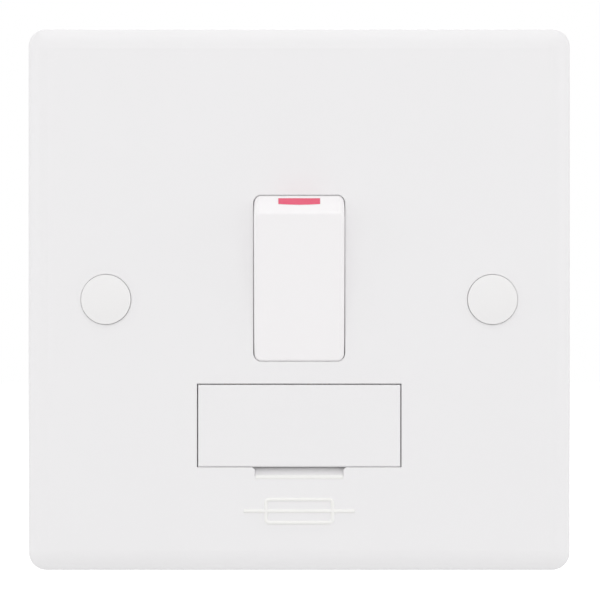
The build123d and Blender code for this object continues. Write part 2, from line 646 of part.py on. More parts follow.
def clamp_screw(x, row):
    """Make one terminal clamp screw, backed off so that the wire bore is clear."""
    z = row * TERMINAL_Z
    tip = BORE_Y + TERMINAL_BORE_R + TOUCH_GAP
    head = (CLAMP_HEAD_FRONT, CLAMP_HEAD_FRONT + CLAMP_HEAD_HEIGHT)
    screw = rod_y(CLAMP_R, x, (tip, head[0]), z) + rod_y(CLAMP_HEAD_R, x, head, z)
    cut = (head[1] - DRIVER_SLOT, head[1] + OVERCUT)
    return screw - block(span(x, DRIVER_SLOT / 2), cut, span(z, CLAMP_HEAD_R + OVERCUT))


def housing_ear(side, end):
    """Make one screw ear at an end of the housing, with its countersunk hole."""
    x, z = side * EAR_X, end * EAR_Z
    level = (EAR_FRONT, EAR_BACK)
    ear = rod_y(EAR_R, x, level, z)
    ear += block(span(x, EAR_R), level, (z, end * (HOUSING_END - HOUSING_WALL)))
    ear -= rod_y(SCREW_R + SCREW_CLEAR_GAP, x, (EAR_FRONT - OVERCUT, EAR_BACK + OVERCUT), z)
    return ear - turned(housing_screw_head(SCREW_PILOT_GAP), x, z)


def housing_screw_head(gap):
    """Outline a countersunk head, grown by a gap, as (radius, y) points."""
    neck = EAR_BACK - SCREW_HEAD_HEIGHT
    return [(0, neck), (SCREW_R + gap, neck), (SCREW_HEAD_R + gap, EAR_BACK), (0, EAR_BACK)]


def housing_screw(side, end):
    """Make one self-tapping screw that holds the housing to the plate."""
    x, z = side * EAR_X, end * EAR_Z
    screw = turned(housing_screw_head(0), x, z)
    screw += rod_y(SCREW_R, x, (EAR_BACK - SCREW_LENGTH, EAR_BACK - SCREW_HEAD_HEIGHT), z)
    recess = (EAR_BACK - DRIVER_SLOT, EAR_BACK + OVERCUT)
    screw -= block(span(x, CROSS_REACH), recess, span(z, CROSS_SLOT / 2))
    return screw - block(span(x, CROSS_SLOT / 2), recess, span(z, CROSS_REACH))


def terminal_bay(x, row):
    """Make the walls and ledge of one terminal bay, and the room that is cut from them."""
    z = (row * STOP_WALL[0], row * (HOUSING_END - MOULD_ROOT))
    walls = block(span(x, BAY_HALF + BAY_WALL), (TERMINAL_FRONT, BAY_FLOOR + MOULD_ROOT), z)
    room_z = (row * STOP_WALL[1], row * (HOUSING_END - HOUSING_WALL))
    room = block(span(x, BAY_HALF), (FACE_BACK, TERMINAL_BACK), room_z)
    reach = TERMINAL_BORE_R + ENTRY_MARGIN
    entry_z = (row * TERMINAL_OUTER, row * (HOUSING_END + OVERCUT))
    entry = block(span(x, reach), span(BORE_Y, reach), entry_z)
    room += fillet(entry.edges().filter_by(Axis.Z), ENTRY_CORNER_R)
    guide_y = (TERMINAL_BACK - OVERCUT, BAY_DEPTH + OVERCUT)
    room += rod_y(CLAMP_HEAD_R + CLAMP_GUIDE_GAP, x, guide_y, row * TERMINAL_Z)
    return walls, room


def strip_pass(x, row):
    """Make the window that lets a strip through a stop wall."""
    depth = (STRIP_FRONT - STRIP_PASS_GAP, STRIP_BACK)
    wall = (row * (STOP_WALL[0] - OVERCUT), row * (STOP_WALL[1] + OVERCUT))
    return block((x[0] - STRIP_PASS_GAP, x[1] + STRIP_PASS_GAP), depth, wall)


def housing_shell():
    """Make the hollow stepped back, deep over the switch and shallow over the terminals."""
    across = span(0, HOUSING_HALF)
    shell = block(across, (FACE_BACK, BAY_DEPTH), span(0, HOUSING_END))
    shell = fillet(shell.edges().filter_by(Axis.Y), HOUSING_CORNER_R)
    shell = fillet(edges_at(shell, BAY_DEPTH), HOUSING_REAR_R)
    hump = block(across, (FACE_BACK, HOUSING_DEPTH), span(0, STOP_WALL[1]))
    shell += fillet(edges_at(hump, HOUSING_DEPTH), HOUSING_REAR_R)
    for x in (-TERMINAL_PITCH / 2, TERMINAL_PITCH / 2):
        fin = span(0, HOUSING_END + FIN_REACH)
        shell += block(span(x, FIN_WIDTH / 2), (FIN_FRONT, BAY_FLOOR), fin)
    inner = span(0, HOUSING_HALF - HOUSING_WALL)
    shell -= block(inner, (FACE_BACK - OVERCUT, BAY_FLOOR), span(0, HOUSING_END - HOUSING_WALL))
    return shell - block(inner, (FACE_BACK, FLOOR), span(0, STOP_WALL[0]))


def rear_housing():
    """Make the moulded back with its bays, stop walls, switch chamber and ears."""
    body = housing_shell()
    inner = HOUSING_HALF - HOUSING_WALL
    deep = FLOOR + MOULD_ROOT
    across = span(0, inner + MOULD_ROOT)
    body += block(across, (WELL_BACK + TOUCH_GAP, deep), STOP_WALL)
    body += block(across, (PAD_BACK, deep), [-z for z in STOP_WALL])
    rooms = []
    for x, row in TERMINALS.values():
        walls, room = terminal_bay(x, row)
        body += walls
        rooms.append(room)
    chamber = (APERTURE_HALF + TOUCH_GAP, WELL_HALF - TOUCH_GAP)
    keeper = (PIVOT_Y + TRUNNION_R + TRUNNION_GAP, deep)
    for side in (-1, 1):
        wall = [side * x for x in chamber]
        body += block(wall, (WELL_BACK + TOUCH_GAP, deep), (CHAMBER_FOOT, CHAMBER_TOP))
        body += block(wall, keeper, span(PIVOT_Z, TRUNNION_R - TOUCH_GAP))
        stop = [side * x for x in (CHEEK_INNER + TOUCH_GAP, CARRIER_WIDTH / 2)]
        body += block(stop, (WELL_BACK + TOUCH_GAP, deep), [-z for z in STOP_WALL])
        pedestal = (FOOT_MIDDLE + STRIP_THICKNESS / 2, deep)
        body += block(span(side * STEM_X, STRIP_WIDTH / 2), pedestal, span(PIVOT_Z, STRIP_WIDTH / 2))
        for end in (-1, 1):
            body += housing_ear(side, end)
    body += block(span(0, BARRIER_WIDTH / 2), (BARRIER_FRONT, deep), (CHAMBER_FOOT, BARRIER_TOP))
    for room in rooms:
        body -= room
    half = STRIP_WIDTH / 2
    for x, row in TERMINALS.values():
        body -= strip_pass(span(x, half), row)
    return body


def screw_cap(side):
    """Make one cap with a slightly domed face and a thin skirt."""
    rim = FRONT - CAP_PROUD
    sphere_r = (CAP_R**2 + CAP_DOME**2) / (2 * CAP_DOME)
    x = side * FIXING_X
    cap = rod_y(CAP_R, x, (rim - CAP_DOME, rim + CAP_THICKNESS), 0)
    cap &= Pos(x, rim - CAP_DOME + sphere_r, 0) * Sphere(sphere_r)
    inner = CAP_R - CAP_SKIRT
    return cap - rod_y(inner, x, (rim + CAP_SKIRT, rim + CAP_THICKNESS + OVERCUT), 0)


def fixing_screw(side):
    """Make one screw that fixes the plate to a wall box."""
    x = side * FIXING_X
    head = (CAP_POCKET_FLOOR - FIXING_HEAD_HEIGHT, CAP_POCKET_FLOOR)
    top = rod_y(FIXING_HEAD_R, x, head, 0)
    top = fillet(edges_at(top, head[0]), FIXING_HEAD_EDGE_R)
    cut = (head[0] - OVERCUT, head[0] + DRIVER_SLOT)
    top -= block(span(x, FIXING_HEAD_R + OVERCUT), cut, span(0, DRIVER_SLOT / 2))
    shank = rod_y(FIXING_SHANK_R, x, (head[1], 0), 0)
    return top + shank + rod_y(FIXING_THREAD_R, x, (-PILLAR_STEP, FIXING_SCREW_REACH), 0)


def each_side(make):
    """Group the left and right copies of a piece."""
    return Compound(children=[make(-1), make(1)])


def build():
    """Make every piece, by the name of its node."""
    pieces = {
        "faceplate": faceplate(),
        "rear_housing": rear_housing(),
        "rocker": rocker(),
        "on_flag": on_flag(),
        "live_in_strip": live_in_strip(),
        "neutral_in_strip": neutral_in_strip(),
        "live_common_strip": live_common_strip(),
        "neutral_out_strip": neutral_out_strip(),
        "live_out_strip": live_out_strip(),
        "earth_strap": earth_strap(),
        "fuse_carrier": fuse_carrier(),
        "fuse_body": fuse_body(),
        "clip_rivets": Compound(children=[clip_rivet(-CLIP_X), clip_rivet(CLIP_X)]),
        "fixing_screws": each_side(fixing_screw),
        "terminal_screws": Compound(children=[clamp_screw(x, row) for x, row in TERMINALS.values()]),
        "housing_screws": Compound(children=[housing_screw(x, z) for x in (-1, 1) for z in (-1, 1)]),
    }
    for pole, x in (("live", -STEM_X), ("neutral", STEM_X)):
        pieces[f"plunger_{pole}"] = plunger(x)
        pieces[f"plunger_spring_{pole}"] = plunger_spring(x)
        pieces[f"moving_contact_{pole}"] = moving_contact(x)
        pieces[f"moving_tip_{pole}"] = moving_tip(x)
        pieces[f"fixed_tip_{pole}"] = fixed_tip(x)
    for hand, side in (("left", -1), ("right", 1)):
        pieces[f"fuse_clip_{hand}"] = fuse_clip(side * CLIP_X)
        pieces[f"fuse_cap_{hand}"] = fuse_cap(side)
        pieces[f"screw_cap_{hand}"] = screw_cap(side)
    for name, (x, row) in TERMINALS.items():
        pieces[name] = terminal(x, row)
    return pieces


os.makedirs("parts", exist_ok=True)
for node, piece in build().items():
    export_step(piece, f"parts/{node}.step")
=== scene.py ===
"""Looks of a switched fused wall unit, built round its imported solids.

Lengths in the classes are in millimetres and the scene is in metres, so MM turns one into the other.
The front faces -Y, +Z is up and the wall plane is y = 0.
"""
import json
import logging
import math
from collections.abc import Iterable
from dataclasses import dataclass
from enum import Enum
from typing import Any

import bmesh
import bpy
from mathutils import Matrix, Vector


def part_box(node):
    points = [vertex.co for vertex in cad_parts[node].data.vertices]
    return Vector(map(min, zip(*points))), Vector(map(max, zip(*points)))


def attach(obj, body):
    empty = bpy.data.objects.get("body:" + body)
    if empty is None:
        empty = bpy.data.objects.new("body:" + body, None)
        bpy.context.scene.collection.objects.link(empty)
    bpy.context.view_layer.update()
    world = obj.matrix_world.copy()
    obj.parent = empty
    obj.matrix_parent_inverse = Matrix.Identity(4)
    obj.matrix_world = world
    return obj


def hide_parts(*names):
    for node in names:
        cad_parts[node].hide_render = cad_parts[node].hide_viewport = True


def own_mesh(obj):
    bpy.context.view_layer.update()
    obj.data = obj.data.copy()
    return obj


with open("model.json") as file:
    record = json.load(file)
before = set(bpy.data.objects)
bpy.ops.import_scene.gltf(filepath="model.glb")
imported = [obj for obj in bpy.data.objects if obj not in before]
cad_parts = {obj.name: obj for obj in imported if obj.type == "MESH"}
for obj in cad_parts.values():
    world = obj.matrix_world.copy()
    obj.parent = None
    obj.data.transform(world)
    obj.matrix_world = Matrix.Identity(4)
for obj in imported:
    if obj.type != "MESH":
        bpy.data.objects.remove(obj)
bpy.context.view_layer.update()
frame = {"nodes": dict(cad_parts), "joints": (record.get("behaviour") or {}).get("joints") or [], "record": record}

MM = 0.001
# Angles above which an edge between faces stays sharp, on screws and on what is swept along a line.
SCREW_CREASE = math.radians(35)
SWEPT_CREASE = math.radians(50)
# The face attribute that marks a screw's drive recess.
RECESS_MARK = "recess"
FLOAT = "NodeSocketFloat"
WHOLE = "NodeSocketInt"
VECTOR = "NodeSocketVector"
MATERIAL = "NodeSocketMaterial"
GEOMETRY = "NodeSocketGeometry"
LOG = logging.getLogger("fused_unit")

Colour = tuple[float, float, float]
Point = tuple[float, float, float]
Stroke = list[tuple[float, float]]


class Slot(Enum):
    """The record's material slots, as names for new pieces."""

    PLATE = "plate_white"
    HOUSING = "housing_white"
    STEEL = "plated_steel"
    SPRING = "spring_steel"


class Recess(Enum):
    """How a screw head is driven, as the number of arms that the recess has."""

    SLOT = 2
    CROSS = 4


class Mark(Enum):
    """The usual signs for a terminal's use.

    Each is a set of strokes between points of (across, up), in heights of a sign.
    """

    EARTH = (
        ((0.0, 0.5), (0.0, 0.05)),
        ((-0.45, 0.05), (0.45, 0.05)),
        ((-0.3, -0.2), (0.3, -0.2)),
        ((-0.15, -0.45), (0.15, -0.45)),
    )
    LIVE = (((-0.25, 0.5), (-0.25, -0.5)), ((-0.25, -0.5), (0.3, -0.5)))
    NEUTRAL = (
        ((-0.32, -0.5), (-0.32, 0.5)),
        ((-0.32, 0.5), (0.32, -0.5)),
        ((0.32, -0.5), (0.32, 0.5)),
    )


class Run(Enum):
    """Which way the drawing lines of a metal piece run, as how far each axis is squeezed."""

    ALONG_X = (0.04, 1.0, 1.0)
    ALONG_Z = (1.0, 1.0, 0.04)


class TreeKind(Enum):
    """What a node tree makes."""

    SHADING = "ShaderNodeTree"
    SHAPE = "GeometryNodeTree"


def linear(colour: Colour) -> tuple[float, float, float, float]:
    """Turn a screen colour into the linear values that shaders take.

    Args:
        colour: Red, green and blue from 0 to 255.

    Returns:
        Linear red, green, blue and a full alpha.
    """
    parts = [value / 255 for value in colour]
    bright = [((v + 0.055) / 1.055) ** 2.4 if v > 0.04045 else v / 12.92 for v in parts]
    return (bright[0], bright[1], bright[2], 1.0)


class Graph:
    """A node tree with short calls that add nodes and join them."""

    def __init__(self, tree: bpy.types.NodeTree) -> None:
        """Start from an empty tree."""
        self.tree = tree
        self.tree.nodes.clear()

    def add(self, kind: str, feeds: dict[Any, Any] | None = None, **settings: Any) -> bpy.types.Node:
        """Add a node.

        Args:
            kind: The node's type name.
            feeds: For an input's name or number, the socket that feeds it or the value it holds.
            settings: Properties of the node itself, such as its operation.

        Returns:
            The new node.
        """
        node = self.tree.nodes.new(kind)
        for name, value in settings.items():
            setattr(node, name, value)
        for key, value in (feeds or {}).items():
            if isinstance(value, bpy.types.NodeSocket):
                self.tree.links.new(value, node.inputs[key])
            else:
                node.inputs[key].default_value = value
        return node

    def out(self, kind: str, feeds: dict[Any, Any] | None = None, **settings: Any) -> bpy.types.NodeSocket:
        """Add a node as add does, and return its first output."""
        return self.add(kind, feeds, **settings).outputs[0]

    def give(self, **results: bpy.types.NodeSocket) -> bpy.types.NodeTree:
        """End a tree that has outputs of its own with their results, and return it."""
        self.add("NodeGroupOutput", results)
        return self.tree

    def surface(self, feeds: dict[str, Any]) -> None:
        """End a material's tree with one Principled shader."""
        shader = self.out("ShaderNodeBsdfPrincipled", feeds)
        self.add("ShaderNodeOutputMaterial", {"Surface": shader})

    def sum(self, operation: str, first: Any, second: Any = 0.0) -> bpy.types.NodeSocket:
        """Add a Math node on one or two sockets or numbers, and return its result."""
        return self.out("ShaderNodeMath", {0: first, 1: second}, operation=operation)

    def spread(self, value: Any, low: float, high: float) -> bpy.types.NodeSocket:
        """Spread a value from 0 to 1 over the range from low to high."""
        return self.out("ShaderNodeMapRange", {"Value": value, "To Min": low, "To Max": high})

    def blend(self, mask: Any, first: Any, second: Any) -> bpy.types.NodeSocket:
        """Mix two colours, the first where the mask is 0 and the second where it is 1."""
        # The node has like-named sockets for each type, so its colours are called by number.
        node = self.add("ShaderNodeMix", {0: mask, 6: first, 7: second}, data_type="RGBA")
        return node.outputs[2]

    def noise(self, place: Any, scale: Any, detail: float) -> bpy.types.NodeSocket:
        """Make a grey noise around a half, with scale in features for each metre."""
        return self.out("ShaderNodeTexNoise", {"Vector": place, "Scale": scale, "Detail": detail})

    def vector(self, **parts: Any) -> bpy.types.NodeSocket:
        """Make a vector from its parts X, Y and Z, which are 0 where none is given."""
        return self.out("ShaderNodeCombineXYZ", parts)

    def axes(self, place: bpy.types.NodeSocket) -> bpy.types.NodeOutputs:
        """Split a vector into its sockets X, Y and Z."""
        return self.add("ShaderNodeSeparateXYZ", {0: place}).outputs

    def bump(self, height: Any, depth: float, **under: bpy.types.NodeSocket) -> bpy.types.NodeSocket:
        """Turn heights into a normal, with the depth in millimetres, on the Normal if one is given."""
        feeds = {"Strength": 1.0, "Distance": depth * MM, "Height": height, **under}
        return self.out("ShaderNodeBump", feeds)

    def sweep(self, path: bpy.types.NodeSocket, radius: Any, around: int) -> bpy.types.NodeSocket:
        """Sweep a circle along a curve and close its ends.

        Args:
            path: The socket of the curve.
            radius: The circle's radius, as a socket or a number.
            around: Steps round the circle.

        Returns:
            The socket of the swept mesh.
        """
        circle = self.out("GeometryNodeCurvePrimitiveCircle", {"Resolution": around, "Radius": radius})
        feeds = {"Curve": path, "Profile Curve": circle, "Fill Caps": True}
        return self.out("GeometryNodeCurveToMesh", feeds)


def new_tree(
    kind: TreeKind, name: str, inputs: dict[str, str], outputs: dict[str, str]
) -> tuple[Graph, bpy.types.NodeOutputs]:
    """Start a node tree with named sockets.

    Args:
        kind: What the tree makes.
        name: The tree's name.
        inputs: Socket kind for each input's name.
        outputs: Socket kind for each output's name.

    Returns:
        The graph, and the sockets of the tree's inputs.
    """
    tree = bpy.data.node_groups.new(name, kind.value)
    for label, socket in inputs.items():
        tree.interface.new_socket(label, in_out="INPUT", socket_type=socket)
    for label, socket in outputs.items():
        tree.interface.new_socket(label, in_out="OUTPUT", socket_type=socket)
    graph = Graph(tree)
    return graph, graph.add("NodeGroupInput").outputs


class Effects:
    """The shader node groups that several finishes share, each built once."""

    def __init__(self) -> None:
        """Build every group."""
        self.mould = self.mould_grain()
        self.lines = self.drawn_lines()
        self.turning = self.turned_lines()
        self.tarnish = self.tarnish_clouds()

    @staticmethod
    def mould_grain() -> bpy.types.NodeTree:
        """Make the skin of a moulding: a fine mould texture, a slow ripple and faint clouds of tone.

        Returns:
            The group, with Height, Tone and Gloss outputs.
        """
        graph, inputs = new_tree(
            TreeKind.SHADING,
            "mould_grain",
            {
                "Place": VECTOR,
                "Grain per metre": FLOAT,
                "Ripple per metre": FLOAT,
                "Clouds per metre": FLOAT,
            },
            {"Height": FLOAT, "Tone": FLOAT, "Gloss": FLOAT},
        )
        grain = graph.noise(inputs["Place"], inputs["Grain per metre"], detail=1.0)
        ripple = graph.noise(inputs["Place"], inputs["Ripple per metre"], detail=0.0)
        clouds = graph.noise(inputs["Place"], inputs["Clouds per metre"], detail=2.0)
        grain_share, ripple_share = 0.35, 0.65
        texture = graph.sum("MULTIPLY", grain, grain_share)
        height = graph.sum("ADD", texture, graph.sum("MULTIPLY", ripple, ripple_share))
        return graph.give(Height=height, Tone=clouds, Gloss=grain)

    @staticmethod
    def drawn_lines() -> bpy.types.NodeTree:
        """Make the fine lines that rolling or drawing leaves along a metal.

        Returns:
            The group, with Height and Tone outputs.
        """
        graph, inputs = new_tree(
            TreeKind.SHADING,
            "drawn_lines",
            {"Place": VECTOR, "Squeeze": VECTOR, "Lines per metre": FLOAT},
            {"Height": FLOAT, "Tone": FLOAT},
        )
        feeds = {0: inputs["Place"], 1: inputs["Squeeze"]}
        place = graph.out("ShaderNodeVectorMath", feeds, operation="MULTIPLY")
        coarse_share = 0.25
        fine = graph.noise(place, inputs["Lines per metre"], detail=3.0)
        wider = graph.sum("MULTIPLY", inputs["Lines per metre"], coarse_share)
        return graph.give(Height=fine, Tone=graph.noise(place, wider, detail=1.0))

    @staticmethod
    def turned_lines() -> bpy.types.NodeTree:
        """Make the rings that turning leaves round screws that stand on an even spacing.

        Returns:
            The group, with Height and Tone outputs.
        """
        graph, inputs = new_tree(
            TreeKind.SHADING,
            "turned_lines",
            {"Place": VECTOR, "Spacing X": FLOAT, "Spacing Z": FLOAT, "Rings per metre": FLOAT},
            {"Height": FLOAT, "Tone": FLOAT},
        )
        axes = graph.axes(inputs["Place"])
        folded = []
        for axis in ("X", "Z"):
            spacing = inputs[f"Spacing {axis}"]
            steps = graph.sum("ROUND", graph.sum("DIVIDE", axes[axis], spacing))
            offset = graph.sum("SUBTRACT", axes[axis], graph.sum("MULTIPLY", steps, spacing))
            folded.append(graph.sum("MULTIPLY", offset, offset))
        radius = graph.sum("SQRT", graph.sum("ADD", folded[0], folded[1]))
        rings = graph.vector(X=radius, Y=axes["Y"])
        coarse_share = 0.2
        fine = graph.noise(rings, inputs["Rings per metre"], detail=2.0)
        wider = graph.sum("MULTIPLY", inputs["Rings per metre"], coarse_share)
        return graph.give(Height=fine, Tone=graph.noise(rings, wider, detail=1.0))

    @staticmethod
    def tarnish_clouds() -> bpy.types.NodeTree:
        """Make the patches where a metal or ceramic has darkened.

        Returns:
            The group, with a Mask output.
        """
        graph, inputs = new_tree(
            TreeKind.SHADING,
            "tarnish_clouds",
            {"Place": VECTOR, "Patches per metre": FLOAT, "Cover": FLOAT},
            {"Mask": FLOAT},
        )
        patches = graph.noise(inputs["Place"], inputs["Patches per metre"], detail=5.0)
        bare_start, fade = 0.75, 0.35
        start = graph.sum("SUBTRACT", bare_start, inputs["Cover"])
        feeds = {"Value": patches, "From Min": start, "From Max": graph.sum("ADD", start, fade)}
        return graph.give(Mask=graph.out("ShaderNodeMapRange", feeds, interpolation_type="SMOOTHSTEP"))


EFFECTS = Effects()


def new_material(name: str) -> tuple[bpy.types.Material, Graph, bpy.types.NodeSocket]:
    """Start a material.

    Args:
        name: The material's name.

    Returns:
        The material, its graph and the socket of the Object coordinates.
    """
    material = bpy.data.materials.new(name)
    material.use_nodes = True
    graph = Graph(material.node_tree)
    return material, graph, graph.add("ShaderNodeTexCoord").outputs["Object"]


@dataclass(frozen=True)
class MouldedPlastic:
    """A moulded plastic, with its mould texture, slow ripple and faint clouds of tone.

    Attributes:
        name: The material's name.
        colour: Screen colour, 0 to 255.
        roughness: Mean roughness.
        grain: Size of the mould texture.
        ripple: Size of the slow ripple in the skin.
        depth: Depth of texture and ripple together.
        tone: How far the tone strays either side of the colour.
        edge: Radius that moulding leaves on every edge.
    """

    name: str
    colour: Colour
    roughness: float = 0.32
    grain: float = 0.16
    ripple: float = 1.6
    depth: float = 0.004
    tone: float = 0.008
    edge: float = 0.12

    def make(self) -> bpy.types.Material:
        """Build the material.

        Returns:
            The new material.
        """
        material, graph, place = new_material(self.name)
        ripples_in_cloud, swing = 12, 0.05
        feeds = {
            "Place": place,
            "Grain per metre": 1 / (self.grain * MM),
            "Ripple per metre": 1 / (self.ripple * MM),
            "Clouds per metre": 1 / (ripples_in_cloud * self.ripple * MM),
        }
        skin = graph.add("ShaderNodeGroup", feeds, node_tree=EFFECTS.mould).outputs
        base = linear(self.colour)
        darker = tuple(value * (1 - self.tone) for value in base[:3]) + (1.0,)
        lighter = tuple(min(value * (1 + self.tone), 1.0) for value in base[:3]) + (1.0,)
        rough = graph.spread(skin["Gloss"], self.roughness - swing, self.roughness + swing)
        rounded = graph.out("ShaderNodeBevel", {"Radius": self.edge * MM}, samples=4)
        normal = graph.bump(skin["Height"], self.depth, Normal=rounded)
        tone = graph.blend(skin["Tone"], darker, lighter)
        graph.surface({"Base Color": tone, "Roughness": rough, "Normal": normal})
        return material


@dataclass(frozen=True)
class WroughtMetal:
    """A rolled, drawn or turned metal with its tool lines and patches of tarnish.

    Attributes:
        name: The material's name.
        colour: Screen colour of the bright metal.
        dulled: Screen colour where it has darkened.
        roughness: Mean roughness.
        cover: How much of the surface has darkened.
        lines: Width of a tool line.
        depth: Depth of the tool lines.
        run: Which way drawn lines run.
        spacing: Spacing of turned screws along X and Z, where the lines are rings.
        grime: Screen colour of the faces that are marked as a recess, a painted shade there together with duller
            plating.
    """

    name: str
    colour: Colour
    dulled: Colour
    roughness: float = 0.28
    cover: float = 0.25
    lines: float = 0.12
    depth: float = 0.003
    run: Run = Run.ALONG_Z
    spacing: tuple[float, float] | None = None
    # Painted shade for a screw's drive recess, together with duller plating there.
    grime: Colour = (112, 110, 104)

    def make(self) -> bpy.types.Material:
        """Build the material.

        Returns:
            The new material.
        """
        material, graph, place = new_material(self.name)
        lines_in_patch, swing, dullness = 30, 0.08, 0.25
        per_metre = 1 / (self.lines * MM)
        if self.spacing:
            feeds = {
                "Place": place,
                "Spacing X": self.spacing[0] * MM,
                "Spacing Z": self.spacing[1] * MM,
                "Rings per metre": per_metre,
            }
            tool = graph.add("ShaderNodeGroup", feeds, node_tree=EFFECTS.turning).outputs
        else:
            feeds = {"Place": place, "Squeeze": self.run.value, "Lines per metre": per_metre}
            tool = graph.add("ShaderNodeGroup", feeds, node_tree=EFFECTS.lines).outputs
        clouds = {"Place": place, "Patches per metre": per_metre / lines_in_patch, "Cover": self.cover}
        mask = graph.out("ShaderNodeGroup", clouds, node_tree=EFFECTS.tarnish)
        # Faces marked as a recess get a darker colour, which is painted shade together with duller plating, and
        # more roughness.
        sunk = graph.add("ShaderNodeAttribute", attribute_name=RECESS_MARK).outputs["Fac"]
        clean = graph.blend(mask, linear(self.colour), linear(self.dulled))
        rough = graph.spread(tool["Tone"], self.roughness - swing, self.roughness + swing)
        more = graph.sum("ADD", graph.sum("MULTIPLY", mask, swing), graph.sum("MULTIPLY", sunk, dullness))
        feeds = {
            "Base Color": graph.blend(sunk, clean, linear(self.grime)),
            "Roughness": graph.sum("ADD", rough, more),
            "Metallic": 1.0,
            "Normal": graph.bump(tool["Height"], self.depth),
        }
        graph.surface(feeds)
        return material


@dataclass(frozen=True)
class FiredCeramic:
    """An unglazed ceramic with fine specks.

    Attributes:
        name: The material's name.
        colour: Screen colour of the body.
        speck: Screen colour of the specks.
        roughness: Mean roughness.
        grain: Size of the grain.
        cover: How much of the surface is specks.
        depth: Depth of the grain.
    """

    name: str
    colour: Colour
    speck: Colour
    roughness: float = 0.62
    grain: float = 0.09
    cover: float = 0.12
    depth: float = 0.008

    def make(self) -> bpy.types.Material:
        """Build the material.

        Returns:
            The new material.
        """
        material, graph, place = new_material(self.name)
        grains_in_speck, swing = 3, 0.1
        feeds = {
            "Place": place,
            "Patches per metre": 1 / (grains_in_speck * self.grain * MM),
            "Cover": self.cover,
        }
        mask = graph.out("ShaderNodeGroup", feeds, node_tree=EFFECTS.tarnish)
        grain = graph.noise(place, 1 / (self.grain * MM), detail=2.0)
        rough = graph.spread(grain, self.roughness - swing, self.roughness + swing)
        tone = graph.blend(mask, linear(self.colour), linear(self.speck))
        graph.surface({"Base Color": tone, "Roughness": rough, "Normal": graph.bump(grain, self.depth)})
        return material


def dress(names: Iterable[str], material: bpy.types.Material) -> None:
    """Give CAD nodes a finish.

    Args:
        names: The nodes' names.
        material: The finish.
    """
    for name in names:
        for place in frame["nodes"][name].material_slots:
            place.material = material
        LOG.info("%s wears %s", name, material.name)


def nodes_like(*starts: str) -> list[str]:
    """List the CAD nodes whose names start with any of some words."""
    return sorted(name for name in frame["nodes"] if name.startswith(starts))


def end_shape(
    graph: Graph, shape: bpy.types.NodeSocket, material: bpy.types.NodeSocket
) -> bpy.types.NodeTree:
    """End a shape's tree: shade it smooth, make its copies real and set their material.

    Args:
        graph: The tree's graph.
        shape: The socket of the shape so far.
        material: The socket of its material.

    Returns:
        The finished tree.
    """
    smooth = graph.out("GeometryNodeSetShadeSmooth", {"Geometry": shape})
    real = graph.out("GeometryNodeRealizeInstances", {"Geometry": smooth})
    feeds = {"Geometry": real, "Material": material}
    return graph.give(Geometry=graph.out("GeometryNodeSetMaterial", feeds))


def run_tree(
    piece: bpy.types.Object, tree: bpy.types.NodeTree, values: dict[str, Any], crease: float
) -> None:
    """Run a tree on an object and keep the result as its plain mesh.

    Args:
        piece: The object that holds the starting mesh.
        tree: The Geometry Nodes tree.
        values: The value of each named input.
        crease: The angle above which an edge between faces stays sharp.
    """
    modifier = piece.modifiers.new(tree.name, "NODES")
    modifier.node_group = tree
    for item in tree.interface.items_tree:
        if item.in_out == "INPUT" and item.name in values:
            modifier[item.identifier] = values[item.name]
    settle(piece)
    piece.data.materials.clear()
    piece.data.materials.append(values["Material"])
    piece.data.set_sharp_from_angle(angle=crease)
    LOG.info("%s has %d faces", piece.name, len(piece.data.polygons))


def settle(piece: bpy.types.Object) -> None:
    """Turn an object and its modifiers into one plain mesh.

    Args:
        piece: The object.
    """
    bpy.context.view_layer.update()
    graph = bpy.context.evaluated_depsgraph_get()
    mesh = bpy.data.meshes.new_from_object(piece.evaluated_get(graph))
    piece.modifiers.clear()
    piece.data = mesh
    mesh.name = piece.name


def new_piece(name: str, work: bmesh.types.BMesh | None = None) -> bpy.types.Object:
    """Put a new mesh object at the origin.

    Args:
        name: The object's name.
        work: What its mesh is made from, which is then freed, or none for an empty mesh.

    Returns:
        The new object.
    """
    piece = bpy.data.objects.new(name, bpy.data.meshes.new(name))
    bpy.context.scene.collection.objects.link(piece)
    if work is not None:
        work.to_mesh(piece.data)
        work.free()
    return piece


def ring(radius: float, y: float, steps: int) -> list[Point]:
    """Set points round the Y axis, in the units of the radius."""
    turns = [2 * math.pi * step / steps for step in range(steps)]
    return [(radius * math.cos(turn), y, radius * math.sin(turn)) for turn in turns]


def skin_over(name: str, rings: list[list[Point]]) -> bpy.types.Object:
    """Join rings of points, in millimetres, into a closed piece with flat ends.

    Args:
        name: The piece's name.
        rings: Rings with the same number of points each.

    Returns:
        The new piece.
    """
    work = bmesh.new()
    loops = [[work.verts.new(Vector(point) * MM) for point in points] for points in rings]
    steps = len(rings[0])
    for first, second in zip(loops, loops[1:]):
        for step in range(steps):
            ahead = (step + 1) % steps
            work.faces.new([first[step], second[step], second[ahead], first[ahead]])
    work.faces.new(loops[0])
    work.faces.new(loops[-1])
    bmesh.ops.recalc_face_normals(work, faces=work.faces)
    return new_piece(name, work)


